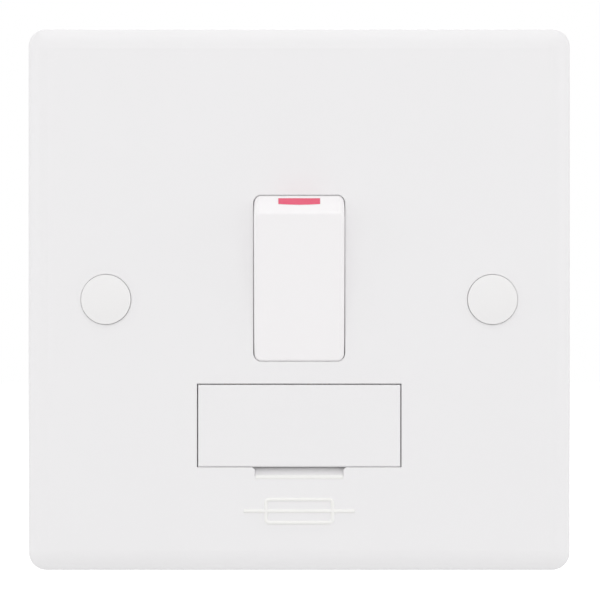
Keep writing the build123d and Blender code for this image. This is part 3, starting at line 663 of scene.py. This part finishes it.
@dataclass(frozen=True)
class ScrewSet:
    """A set of like screws that stands for one CAD node, with real threads and drive recesses.

    Attributes:
        node: The CAD node that the set replaces.
        name: The piece's name.
        columns: Screws along X.
        rows: Screws along Z.
        head: Radius of the head.
        head_height: Height of the head.
        edge: Rounding of a cheese head's rim, or 0 for a countersunk head.
        shank: Radius of the plain shank.
        thread: Outer radius of the thread.
        plain: Length of plain shank between the head and the thread.
        pitch: Pitch of the thread.
        recess: How the head is driven.
        recess_width: Width of the recess's arms.
        recess_depth: Depth of the recess.
        recess_reach: From the screw's axis to the end of an arm.
        recess_foot: How much of its width the recess keeps at its foot.
        faces_front: Whether the heads face the front.
        seed: Seed of the turn that each screw was left at.
        groove: Depth of the thread, as a share of its pitch.
        segments: Steps round the head.
        samples: Rings of points in each turn of the thread.
    """

    node: str
    name: str
    columns: int
    rows: int
    head: float
    head_height: float
    edge: float
    shank: float
    thread: float
    plain: float
    pitch: float
    recess: Recess
    recess_width: float
    recess_depth: float
    recess_reach: float
    recess_foot: float
    faces_front: bool
    seed: int
    groove: float = 0.6
    segments: int = 48
    samples: int = 9

    def outermost(self) -> tuple[float, float]:
        """Measure how far the outer screws stand from the middle, along X and Z."""
        high = Vector(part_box(self.node)[1]) / MM
        return high.x - self.head, high.z - self.head

    def outline(self) -> list[tuple[float, float]]:
        """Draw the head and the plain shank, with the head's face at y = 0.

        Returns:
            Points of (radius, y), from the head's face to the end inside the thread.
        """
        flat_margin, rim_steps = 0.1, 4
        points = [(self.head - self.edge - flat_margin, 0.0)]
        for step in range(rim_steps + 1 if self.edge else 1):
            turn = math.pi / 2 * step / rim_steps
            points.append((self.head - self.edge * (1 - math.sin(turn)), self.edge * (1 - math.cos(turn))))
        if self.edge:
            points.append((self.head, self.head_height))
        end = self.head_height + self.plain + self.pitch
        return points + [(self.shank, self.head_height), (self.shank, end)]

    def recess_corners(self) -> list[tuple[float, float]]:
        """Draw the mouth of the recess, arm by arm.

        Returns:
            Points of (x, z) round the mouth.
        """
        half = self.recess_width / 2
        arm = [Vector((self.recess_reach, -half)), Vector((self.recess_reach, half))]
        if self.recess is Recess.CROSS:
            arm.append(Vector((half, half)))
        corners = []
        for step in range(self.recess.value):
            turn = Matrix.Rotation(2 * math.pi * step / self.recess.value, 2)
            corners += [tuple(turn @ corner) for corner in arm]
        return corners

    def headed_blank(self) -> bpy.types.Object:
        """Turn the head and the plain shank, and sink the recess.

        Returns:
            The blank, with its recess marked.
        """
        blank = skin_over(self.name, [ring(radius, y, self.segments) for radius, y in self.outline()])
        corners = self.recess_corners()
        slope = (1 - self.recess_foot) / self.recess_depth
        levels = (-self.recess_depth, self.recess_depth)
        sizes = [1 - slope * level for level in levels]
        rings = [[(x * size, level, z * size) for x, z in corners] for level, size in zip(levels, sizes)]
        cutter = skin_over(f"{self.name}_cutter", rings)
        sink = blank.modifiers.new("recess", "BOOLEAN")
        sink.object = cutter
        sink.solver = "EXACT"
        settle(blank)
        bpy.data.objects.remove(cutter)
        self.mark_recess(blank.data)
        return blank

    def mark_recess(self, mesh: bpy.types.Mesh) -> None:
        """Mark the faces of the recess, which lie below the head's face and within an arm's width.

        Args:
            mesh: The headed blank.
        """
        marks = mesh.attributes.new(RECESS_MARK, "FLOAT", "FACE").data
        slack = 0.02
        reach = self.recess_width / 2 + slack
        for face in mesh.polygons:
            middle = face.center / MM
            across = abs(middle.z)
            if self.recess is Recess.CROSS:
                across = min(across, abs(middle.x))
            deep = slack < middle.y < self.recess_depth + slack
            marks[face.index].value = float(deep and across < reach)

    def build(self, material: bpy.types.Material) -> None:
        """Make the set where its CAD node is.

        Args:
            material: The screws' finish.
        """
        low, high = (Vector(corner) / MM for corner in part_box(self.node))
        start = self.head_height + self.plain
        length = high.y - low.y - start
        across, up = self.outermost()
        fewest_rows = 2
        values = {
            "Thread Radius": self.thread * MM,
            "Thread Depth": self.groove * self.pitch * MM,
            "Pitch": self.pitch * MM,
            "Start": start * MM,
            "Length": length * MM,
            "Rings": int(length / self.pitch * self.samples),
            "Columns": self.columns,
            "Rows": max(self.rows, fewest_rows),
            "Width": 2 * across * MM,
            "Height": 2 * up * MM,
            "Level": (low.y if self.faces_front else high.y) * MM,
            "Turn Over": 0.0 if self.faces_front else math.pi,
            "Seed": self.seed,
            "Material": material,
        }
        piece = self.headed_blank()
        run_tree(piece, SCREW_TREE, values, SCREW_CREASE)
        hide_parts(self.node)
        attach(piece, "unit")


def screw_tree() -> bpy.types.NodeTree:
    """Build the tree that threads a headed blank and sets copies of it out in rows.

    The thread is a flat sheet that is curled round the Y axis, and its first and last rings close on the
    axis. A single row comes as two rows in one place, whose spots merge.

    Returns:
        The Geometry Nodes tree.
    """
    graph, inputs = new_tree(
        TreeKind.SHAPE,
        "screw_set",
        {
            "Geometry": GEOMETRY,
            "Thread Radius": FLOAT,
            "Thread Depth": FLOAT,
            "Pitch": FLOAT,
            "Start": FLOAT,
            "Length": FLOAT,
            "Rings": WHOLE,
            "Columns": WHOLE,
            "Rows": WHOLE,
            "Width": FLOAT,
            "Height": FLOAT,
            "Level": FLOAT,
            "Turn Over": FLOAT,
            "Seed": WHOLE,
            "Material": MATERIAL,
        },
        {"Geometry": GEOMETRY},
    )
    around, crest, root, last_ring = 36, 0.2, 0.9, 0.4999
    same_seam, same_spot = 0.002 * MM, 0.01 * MM
    feeds = {"Size X": 1.0, "Size Y": 1.0, "Vertices X": around + 1, "Vertices Y": inputs["Rings"]}
    sheet = graph.out("GeometryNodeMeshGrid", feeds)
    flat = graph.axes(graph.out("GeometryNodeInputPosition"))
    # The sheet has sides of 1 round its middle, so half of that counts from its corner.
    turn = graph.sum("ADD", flat["X"], 0.5)
    along = graph.sum("ADD", flat["Y"], 0.5)
    reach = graph.sum("MULTIPLY", along, inputs["Length"])
    phase = graph.sum("FRACT", graph.sum("SUBTRACT", graph.sum("DIVIDE", reach, inputs["Pitch"]), turn))
    valley = graph.sum("ABSOLUTE", graph.sum("SUBTRACT", graph.sum("MULTIPLY", phase, 2.0), 1.0))
    groove = graph.out("ShaderNodeMapRange", {"Value": valley, "From Min": crest, "From Max": root})
    left = graph.sum("SUBTRACT", inputs["Length"], reach)
    run_in = graph.sum("DIVIDE", graph.sum("MINIMUM", reach, left), inputs["Pitch"])
    taper = graph.sum("SUBTRACT", 1.0, graph.sum("MINIMUM", run_in, 1.0))
    sunk = graph.sum("MULTIPLY", graph.sum("MAXIMUM", groove, taper), inputs["Thread Depth"])
    solid = graph.sum("LESS_THAN", graph.sum("ABSOLUTE", flat["Y"]), last_ring)
    radius = graph.sum("MULTIPLY", graph.sum("SUBTRACT", inputs["Thread Radius"], sunk), solid)
    angle = graph.sum("MULTIPLY", turn, 2 * math.pi)
    curled = graph.vector(
        X=graph.sum("MULTIPLY", radius, graph.sum("COSINE", angle)),
        Y=graph.sum("ADD", reach, inputs["Start"]),
        Z=graph.sum("MULTIPLY", radius, graph.sum("SINE", angle)),
    )
    thread = graph.out("GeometryNodeSetPosition", {"Geometry": sheet, "Position": curled})
    closed = graph.out("GeometryNodeMergeByDistance", {"Geometry": thread, "Distance": same_seam})
    both = graph.add("GeometryNodeJoinGeometry", {0: inputs["Geometry"]})
    graph.tree.links.new(graph.out("GeometryNodeFlipFaces", {"Mesh": closed}), both.inputs[0])
    facing = graph.vector(Z=inputs["Turn Over"])
    one = graph.out("GeometryNodeTransform", {"Geometry": both.outputs[0], "Rotation": facing})
    feeds = {
        "Size X": inputs["Width"],
        "Size Y": inputs["Height"],
        "Vertices X": inputs["Columns"],
        "Vertices Y": inputs["Rows"],
    }
    spots = graph.out("GeometryNodeMeshGrid", feeds)
    grid = graph.axes(graph.out("GeometryNodeInputPosition"))
    upright = graph.vector(X=grid["X"], Y=inputs["Level"], Z=grid["Y"])
    stood = graph.out("GeometryNodeSetPosition", {"Geometry": spots, "Position": upright})
    apart = graph.out("GeometryNodeMergeByDistance", {"Geometry": stood, "Distance": same_spot})
    # Sockets 2 and 3 hold the least and the greatest turn, and output 1 is the one that is drawn.
    feeds = {2: 0.0, 3: math.pi, "Seed": inputs["Seed"]}
    left_at = graph.add("FunctionNodeRandomValue", feeds, data_type="FLOAT").outputs[1]
    feeds = {"Points": apart, "Instance": one, "Rotation": graph.vector(Y=left_at)}
    return end_shape(graph, graph.out("GeometryNodeInstanceOnPoints", feeds), inputs["Material"])


SCREW_TREE = screw_tree()


def line_tree() -> bpy.types.NodeTree:
    """Build the tree that turns a wire into rounded lines, pressed to a low rise along Y.

    Returns:
        The Geometry Nodes tree.
    """
    graph, inputs = new_tree(
        TreeKind.SHAPE,
        "raised_lines",
        {"Geometry": GEOMETRY, "Half Line": FLOAT, "Rise": FLOAT, "Level": FLOAT, "Material": MATERIAL},
        {"Geometry": GEOMETRY},
    )
    path = graph.out("GeometryNodeMeshToCurve", {0: inputs["Geometry"]})
    swept = graph.sweep(path, inputs["Half Line"], around=20)
    spot = graph.axes(graph.out("GeometryNodeInputPosition"))
    share = graph.sum("DIVIDE", inputs["Rise"], inputs["Half Line"])
    proud = graph.sum("MULTIPLY", graph.sum("SUBTRACT", spot["Y"], inputs["Level"]), share)
    pressed = graph.vector(X=spot["X"], Y=graph.sum("ADD", inputs["Level"], proud), Z=spot["Z"])
    low = graph.out("GeometryNodeSetPosition", {"Geometry": swept, "Position": pressed})
    return end_shape(graph, low, inputs["Material"])


LINE_TREE = line_tree()


@dataclass(frozen=True)
class RaisedLines:
    """Rounded lines moulded on a face that is square to Y.

    Attributes:
        name: The piece's name.
        slot: The record's material slot that the lines belong to, which is not used.
        half: Half the width of a line.
        rise: How far the lines stand proud.
    """

    name: str
    slot: Slot
    half: float
    rise: float

    def build(self, strokes: list[Stroke], level: float, material: bpy.types.Material) -> None:
        """Sweep a line along each stroke.

        Args:
            strokes: Points of (x, z) for each stroke, which is closed where it ends where it starts.
            level: Where the face lies along Y, in metres.
            material: The lines' finish.
        """
        wire = bmesh.new()
        for stroke in strokes:
            closed = int(stroke[0] == stroke[-1])
            points = [wire.verts.new((x * MM, level, z * MM)) for x, z in stroke[: len(stroke) - closed]]
            for pair in zip(points, points[1:] + points[:closed]):
                wire.edges.new(pair)
        piece = new_piece(self.name, wire)
        sizes = {"Half Line": self.half * MM, "Rise": self.rise * MM}
        values = {**sizes, "Level": level, "Material": material}
        run_tree(piece, LINE_TREE, values, SWEPT_CREASE)
        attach(piece, "unit")


@dataclass
class WallPlate:
    """The plate with its two caps, and the notch's lip and raised fuse symbol under the carrier.

    Attributes:
        symbol_z: Height of the symbol's middle.
        symbol_width: Length of the line through the symbol.
        body_width: Width of the symbol's box.
        body_height: Height of the symbol's box.
        corner: Rounding of the box's corners.
        line: Half the width of a raised line.
        rise: How far the lines stand proud.
        lip_z: Height of the rounded lip along the foot of the notch.
        lip_width: Length of the lip.
        lip_line: Half the width of the lip.
        lip_rise: How far the lip stands proud.
        face: Finish of the plate.
        caps: Finish of its caps.
        raised: Finish of the raised lines, lighter than the plate; on the notch's lip that lighter colour is a
            painted highlight.
    """

    symbol_z: float = -33.0
    symbol_width: float = 17.3
    body_width: float = 10.4
    body_height: float = 3.6
    corner: float = 0.5
    line: float = 0.28
    rise: float = 0.22
    lip_z: float = -27.7
    lip_width: float = 13.6
    lip_line: float = 0.3
    lip_rise: float = 0.1
    face: MouldedPlastic = MouldedPlastic("plate_urea", (238, 237, 238), edge=0.25)
    caps: MouldedPlastic = MouldedPlastic("cap_urea", (239, 238, 238), 0.36)
    # Lighter than the plate; on the notch's lip this lighter colour is a painted highlight.
    raised: MouldedPlastic = MouldedPlastic("raised_urea", (243, 242, 240), 0.3)

    def box_outline(self) -> Stroke:
        """Draw the symbol's box with rounded corners.

        Returns:
            A closed stroke.
        """
        quarters, steps = 4, 6
        across = self.body_width / 2 - self.corner
        up = self.body_height / 2 - self.corner
        points = []
        for step in range(quarters * (steps + 1)):
            quarter, part = divmod(step, steps + 1)
            turn = math.pi / 2 * (quarter + part / steps)
            diagonal = math.pi / 2 * (quarter + 0.5)
            x = math.copysign(across, math.cos(diagonal)) + self.corner * math.cos(turn)
            z = math.copysign(up, math.sin(diagonal)) + self.corner * math.sin(turn)
            points.append((x, self.symbol_z + z))
        return points + points[:1]

    def raise_symbol(self, material: bpy.types.Material) -> None:
        """Mould the symbol on the plate's face.

        Args:
            material: The symbol's finish.
        """
        half = self.symbol_width / 2
        strokes = [self.box_outline(), [(-half, self.symbol_z), (half, self.symbol_z)]]
        lines = RaisedLines("fuse_symbol", Slot.PLATE, self.line, self.rise)
        lines.build(strokes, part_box("faceplate")[0].y, material)

    def round_lip(self, material: bpy.types.Material) -> None:
        """Mould the rounded lip along the foot of the notch.

        Args:
            material: The lip's finish.
        """
        half = self.lip_width / 2
        lines = RaisedLines("notch_lip", Slot.PLATE, self.lip_line, self.lip_rise)
        lines.build([[(-half, self.lip_z), (half, self.lip_z)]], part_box("faceplate")[0].y, material)

    def build(self) -> None:
        """Dress the plate and its caps, and raise the symbol and the notch's lip."""
        dress(["faceplate"], self.face.make())
        dress(nodes_like("screw_cap"), self.caps.make())
        raised = self.raised.make()
        self.raise_symbol(raised)
        # The lip's lighter finish is a painted highlight along the foot of the notch.
        self.round_lip(raised)


def coil_tree() -> bpy.types.NodeTree:
    """Build the tree that winds a round wire into a coil.

    Returns:
        The Geometry Nodes tree.
    """
    graph, inputs = new_tree(
        TreeKind.SHAPE,
        "coil_spring",
        {
            "Geometry": GEOMETRY,
            "Coil Radius": FLOAT,
            "Wire Radius": FLOAT,
            "Turns": FLOAT,
            "Height": FLOAT,
            "Place": VECTOR,
            "Facing": VECTOR,
            "Material": MATERIAL,
        },
        {"Geometry": GEOMETRY},
    )
    steps_in_turn = 28
    feeds = {
        "Resolution": steps_in_turn,
        "Rotations": inputs["Turns"],
        "Start Radius": inputs["Coil Radius"],
        "End Radius": inputs["Coil Radius"],
        "Height": inputs["Height"],
    }
    wound = graph.sweep(graph.out("GeometryNodeCurveSpiral", feeds), inputs["Wire Radius"], around=12)
    feeds = {"Geometry": wound, "Translation": inputs["Place"], "Rotation": inputs["Facing"]}
    return end_shape(graph, graph.out("GeometryNodeTransform", feeds), inputs["Material"])


COIL_TREE = coil_tree()


def joint_named(name: str) -> dict[str, Any]:
    """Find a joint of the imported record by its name."""
    return next(joint for joint in frame["joints"] if joint["name"] == name)


@dataclass(frozen=True)
class PlungerSpring:
    """A coil spring in a stem of the rocker, wound to the length of its CAD node.

    Attributes:
        pole: The pole that the plunger works.
        coil: Radius of the coil, to the middle of the wire.
        wire: Radius of the wire.
        turns: Turns of the coil.
    """

    pole: str
    coil: float = 1.1
    wire: float = 0.2
    turns: float = 5.0

    def build(self, material: bpy.types.Material) -> None:
        """Wind the spring where its CAD node is.

        Args:
            material: The wire's finish.
        """
        node = f"plunger_spring_{self.pole}"
        slide = joint_named(f"{self.pole}_plunger_slide")
        inward = Vector(slide["axis"]).normalized()
        low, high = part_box(node)
        pivot = Vector(joint_named("rocker_tilt")["pos_m"])
        pivot.x = (low.x + high.x) / 2
        reaches = [inward.dot(corner.co - pivot) for corner in frame["nodes"][node].data.vertices]
        length = max(reaches) - min(reaches)
        seat = pivot + inward * max(reaches)
        values = {
            "Coil Radius": self.coil * MM,
            "Wire Radius": self.wire * MM,
            "Turns": self.turns,
            "Height": length - 2 * self.wire * MM,
            "Place": seat - inward * self.wire * MM,
            "Facing": (-inward).to_track_quat("Z", "Y").to_euler(),
            "Material": material,
        }
        piece = new_piece(f"{self.pole}_coil_spring")
        run_tree(piece, COIL_TREE, values, SWEPT_CREASE)
        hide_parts(node)
        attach(piece, "switch_rocker")
        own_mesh(piece)


@dataclass
class RockerSwitch:
    """The rocker with its flag, and the sprung plungers and see-saw blades behind it.

    Attributes:
        rocker: Finish of the rocker.
        flag: Finish of the flag.
        nylon: Finish of the plungers.
        wire: Finish of the springs.
        blade: Finish of the blades.
        tip: Finish of the contact tips.
        springs: The spring of each pole.
    """

    rocker: MouldedPlastic = MouldedPlastic(
        "rocker_gloss", (246, 244, 245), 0.22, ripple=2.2, depth=0.003, edge=0.3
    )
    flag: MouldedPlastic = MouldedPlastic("flag_gloss", (229, 84, 115), 0.25, tone=0.02, edge=0.05)
    nylon: MouldedPlastic = MouldedPlastic("natural_nylon", (229, 228, 220), 0.45, tone=0.02)
    wire: WroughtMetal = WroughtMetal("spring_wire", (205, 205, 203), (150, 148, 144), 0.25)
    blade: WroughtMetal = WroughtMetal("blade_brass", (226, 191, 124), (176, 132, 74), 0.26)
    tip: WroughtMetal = WroughtMetal("contact_silver", (238, 237, 232), (196, 192, 184), 0.3)
    springs: tuple[PlungerSpring, ...] = (PlungerSpring("live"), PlungerSpring("neutral"))

    def build(self) -> None:
        """Dress every piece of the switch and wind its springs."""
        dress(["rocker"], self.rocker.make())
        dress(["on_flag"], self.flag.make())
        dress(["plunger_live", "plunger_neutral"], self.nylon.make())
        steel = self.wire.make()
        for spring in self.springs:
            spring.build(steel)
        dress(nodes_like("moving_contact"), self.blade.make())
        dress(nodes_like("moving_tip", "fixed_tip"), self.tip.make())


@dataclass
class FuseDrawer:
    """The carrier and its cartridge fuse.

    Attributes:
        carrier: Finish of the carrier.
        body: Finish of the fuse's tube.
        plating: Finish of the fuse's caps.
    """

    carrier: MouldedPlastic = MouldedPlastic("carrier_urea", (238, 237, 238), 0.3)
    body: FiredCeramic = FiredCeramic("tube_ceramic", (236, 231, 219), (205, 196, 178))
    plating: WroughtMetal = WroughtMetal(
        "cap_nickel", (222, 220, 214), (178, 174, 166), 0.2, lines=0.08, run=Run.ALONG_X
    )

    def build(self) -> None:
        """Dress the carrier and the fuse."""
        dress(["fuse_carrier"], self.carrier.make())
        dress(["fuse_body"], self.body.make())
        dress(nodes_like("fuse_cap"), self.plating.make())


@dataclass
class RearHousing:
    """The moulded back with its terminal marks, and the metal that it holds.

    Attributes:
        mark_height: Height of a mark.
        mark_drop: From a terminal's middle to its mark, towards the middle of the back.
        mark_line: Half the width of a mark's lines.
        mark_rise: How far the marks stand proud.
        back: Finish of the moulding and its marks.
        strip: Finish of the strips.
        block: Finish of the terminals.
        clip: Finish of the fuse clips and their rivets.
    """

    mark_height: float = 3.4
    mark_drop: float = 7.6
    mark_line: float = 0.34
    mark_rise: float = 0.42
    back: MouldedPlastic = MouldedPlastic(
        "housing_thermoset",
        (226, 226, 223),
        0.48,
        grain=0.3,
        ripple=2.5,
        depth=0.012,
        tone=0.015,
        edge=0.15,
    )
    strip: WroughtMetal = WroughtMetal("strip_brass", (224, 188, 118), (170, 126, 70), 0.27)
    block: WroughtMetal = WroughtMetal("terminal_brass", (221, 184, 112), (168, 124, 66), 0.3, lines=0.1)
    clip: WroughtMetal = WroughtMetal("clip_bronze", (214, 164, 116), (158, 106, 66), 0.25)

    def terminal_marks(self) -> list[Stroke]:
        """Draw each terminal's mark beside it, to be read from behind.

        Returns:
            The strokes of all the marks.
        """
        strokes = []
        for mount in frame["record"]["mounts"]:
            if mount["name"].endswith("_wire"):
                x, _, z = (value / MM for value in mount["pos_m"])
                middle = z - math.copysign(self.mark_drop, z)
                mark = Mark[mount["name"].split("_")[0].upper()]
                for stroke in mark.value:
                    size = self.mark_height
                    strokes.append([(x - across * size, middle + up * size) for across, up in stroke])
        return strokes

    def build(self) -> None:
        """Dress the housing, strips, terminals and clips, and raise the terminals' marks."""
        moulding = self.back.make()
        dress(["rear_housing"], moulding)
        lines = RaisedLines("terminal_marks", Slot.HOUSING, self.mark_line, self.mark_rise)
        lines.build(self.terminal_marks(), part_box("rear_housing")[1].y, moulding)
        strips = [name for name in frame["nodes"] if name.endswith(("_strip", "_strap"))]
        dress(sorted(strips), self.strip.make())
        terminals = [name for name in nodes_like("terminal_") if name != "terminal_screws"]
        dress(terminals, self.block.make())
        dress(nodes_like("fuse_clip", "clip_rivets"), self.clip.make())


@dataclass
class Fasteners:
    """The screws: two into the wall box, one in each terminal, and four that hold the back on.

    Attributes:
        fixing: The screws into the wall box.
        clamp: The screws of the terminals.
        housing: The screws that hold the back on.
        bright: Screen colour of clean zinc plate.
        dulled: Screen colour of dull zinc plate.
    """

    fixing: ScrewSet = ScrewSet(
        node="fixing_screws",
        name="fixing_screws_threaded",
        columns=2,
        rows=1,
        head=3.2,
        head_height=1.6,
        edge=0.5,
        shank=1.5,
        thread=1.75,
        plain=4.5,
        pitch=0.6,
        recess=Recess.SLOT,
        recess_width=0.9,
        recess_depth=0.9,
        recess_reach=4.0,
        recess_foot=1.0,
        faces_front=True,
        seed=3,
    )
    clamp: ScrewSet = ScrewSet(
        node="terminal_screws",
        name="clamp_screws_threaded",
        columns=3,
        rows=2,
        head=2.8,
        head_height=2.2,
        edge=0.3,
        shank=1.6,
        thread=2.0,
        plain=0.2,
        pitch=0.7,
        recess=Recess.SLOT,
        recess_width=0.9,
        recess_depth=0.9,
        recess_reach=3.4,
        recess_foot=1.0,
        faces_front=False,
        seed=11,
    )
    housing: ScrewSet = ScrewSet(
        node="housing_screws",
        name="housing_screws_threaded",
        columns=2,
        rows=2,
        head=2.5,
        head_height=1.5,
        edge=0.0,
        shank=0.85,
        thread=1.1,
        plain=0.3,
        pitch=0.8,
        recess=Recess.CROSS,
        recess_width=0.65,
        recess_depth=1.1,
        recess_reach=1.6,
        recess_foot=0.5,
        faces_front=False,
        seed=5,
    )
    bright: Colour = (206, 207, 208)
    dulled: Colour = (172, 172, 168)

    def build(self) -> None:
        """Make each set of screws in its own plated finish."""
        for screws in (self.fixing, self.clamp, self.housing):
            name, spacing = f"{screws.name}_zinc", screws.outermost()
            plated = WroughtMetal(name, self.bright, self.dulled, 0.3, spacing=spacing)
            screws.build(plated.make())


@dataclass(frozen=True)
class Softbox:
    """One square studio lamp that faces the unit.

    Attributes:
        name: The lamp's name.
        place: Where it stands, in metres.
        size: Its side, in metres.
        level: How bright it alone makes a white card that faces it at the origin.
    """

    name: str
    place: Point
    size: float
    level: float

    def build(self) -> None:
        """Add the lamp to the scene."""
        lamp = bpy.data.lights.new(self.name, "AREA")
        place = Vector(self.place)
        lamp.size = self.size
        lamp.energy = self.level * math.pi**2 * place.length_squared
        holder = bpy.data.objects.new(self.name, lamp)
        holder.location = place
        holder.rotation_euler = (-place).to_track_quat("-Z", "Y").to_euler()
        bpy.context.scene.collection.objects.link(holder)


@dataclass
class Studio:
    """The floor, the light and the camera.

    Attributes:
        ambient: Brightness of the light that comes from all round.
        floor_z: Height of the floor, in metres.
        floor_size: Side of the floor, in metres.
        floor_paint: Grey of the floor itself.
        floor_white: How much plain white the floor's look has, on top of the light that falls on it.
        distance: From the camera to the plate's face, in metres.
        scale: Pixels for each metre at the plate's face.
        frame_pixels: Side of the picture.
        aim: Where the middle of the picture falls on the plate's face, as x and z in metres.
        sensor: Width of the camera's sensor.
        lamps: The lamps round the unit.
    """

    ambient: float = 0.67
    floor_z: float = -0.1
    floor_size: float = 6.0
    floor_paint: float = 0.75
    floor_white: float = 0.52
    distance: float = 0.45
    scale: float = 6411.0
    frame_pixels: int = 600
    aim: tuple[float, float] = (0.00012, -0.00008)
    sensor: float = 36.0
    lamps: tuple[Softbox, ...] = (
        Softbox("key_softbox", (0.0, -0.65, 1.13), 1.2, 0.25),
        Softbox("front_softbox", (0.0, -1.45, 0.25), 1.0, 0.075),
        Softbox("front_left_softbox", (-0.95, -1.05, 0.2), 0.45, 0.045),
        Softbox("front_right_softbox", (0.95, -1.05, 0.2), 0.45, 0.045),
        Softbox("rear_softbox", (0.0, 1.2, 0.9), 1.2, 0.35),
        Softbox("left_softbox", (-1.3, -0.25, 0.15), 0.7, 0.1),
        Softbox("right_softbox", (1.3, -0.25, 0.15), 0.7, 0.1),
    )

    @staticmethod
    def seen_rays(graph: Graph) -> bpy.types.NodeSocket:
        """Mark the rays that show the backdrop itself: straight, mirrored or through glass.

        Args:
            graph: The graph that needs the mark.

        Returns:
            The socket of the mark, 1 for such rays and 0 for others.
        """
        path = graph.add("ShaderNodeLightPath").outputs
        shown = graph.sum("MAXIMUM", path["Is Camera Ray"], path["Is Glossy Ray"])
        return graph.sum("MAXIMUM", shown, path["Is Transmission Ray"])

    def light_world(self) -> None:
        """Make an even light from all round, on a white background."""
        world = bpy.data.worlds.new("tent")
        world.use_nodes = True
        bpy.context.scene.world = world
        graph = Graph(world.node_tree)
        soft = graph.out("ShaderNodeBackground", {"Color": (1, 1, 1, 1), "Strength": self.ambient})
        white = graph.out("ShaderNodeBackground", {"Color": (1, 1, 1, 1), "Strength": 1.0})
        both = graph.out("ShaderNodeMixShader", {0: self.seen_rays(graph), 1: soft, 2: white})
        graph.add("ShaderNodeOutputWorld", {"Surface": both})

    def lay_floor(self) -> None:
        """Lay a pale floor that keeps the unit's shadow and is clear when seen from below."""
        work = bmesh.new()
        bmesh.ops.create_grid(work, x_segments=1, y_segments=1, size=self.floor_size / 2)
        bmesh.ops.translate(work, vec=(0, 0, self.floor_z), verts=work.verts)
        floor = new_piece("floor", work)
        material = bpy.data.materials.new("floor_pale")
        material.use_nodes = True
        graph = Graph(material.node_tree)
        grey = (self.floor_paint,) * 3 + (1.0,)
        paint = graph.out("ShaderNodeBsdfDiffuse", {"Color": grey})
        glow = graph.sum("MULTIPLY", self.seen_rays(graph), self.floor_white)
        white = graph.out("ShaderNodeEmission", {"Color": (1, 1, 1, 1), "Strength": glow})
        both = graph.out("ShaderNodeAddShader", {0: paint, 1: white})
        below = graph.add("ShaderNodeNewGeometry").outputs["Backfacing"]
        clear = graph.out("ShaderNodeBsdfTransparent")
        seen = graph.out("ShaderNodeMixShader", {0: below, 1: both, 2: clear})
        graph.add("ShaderNodeOutputMaterial", {"Surface": seen})
        floor.data.materials.append(material)

    def set_camera(self) -> None:
        """Stand the camera square in front of the plate."""
        lens = bpy.data.cameras.new("camera")
        lens.sensor_width = self.sensor
        lens.lens = self.scale * self.distance / self.frame_pixels * self.sensor
        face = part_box("faceplate")[0].y
        camera = bpy.data.objects.new("camera", lens)
        camera.location = (self.aim[0], face - self.distance, self.aim[1])
        camera.rotation_euler = (math.pi / 2, 0, 0)
        bpy.context.scene.collection.objects.link(camera)
        bpy.context.scene.camera = camera

    def build(self) -> None:
        """Set up the floor, the light, the camera and the plain view transform."""
        self.lay_floor()
        self.light_world()
        for lamp in self.lamps:
            lamp.build()
        self.set_camera()
        bpy.context.scene.view_settings.view_transform = "Standard"


def main() -> None:
    """Build the unit's sub-assemblies in order, then the studio round them."""
    logging.basicConfig(level=logging.INFO, format="%(name)s: %(message)s")
    WallPlate().build()
    RockerSwitch().build()
    FuseDrawer().build()
    RearHousing().build()
    Fasteners().build()
    Studio().build()


if __name__ == "__main__":
    main()
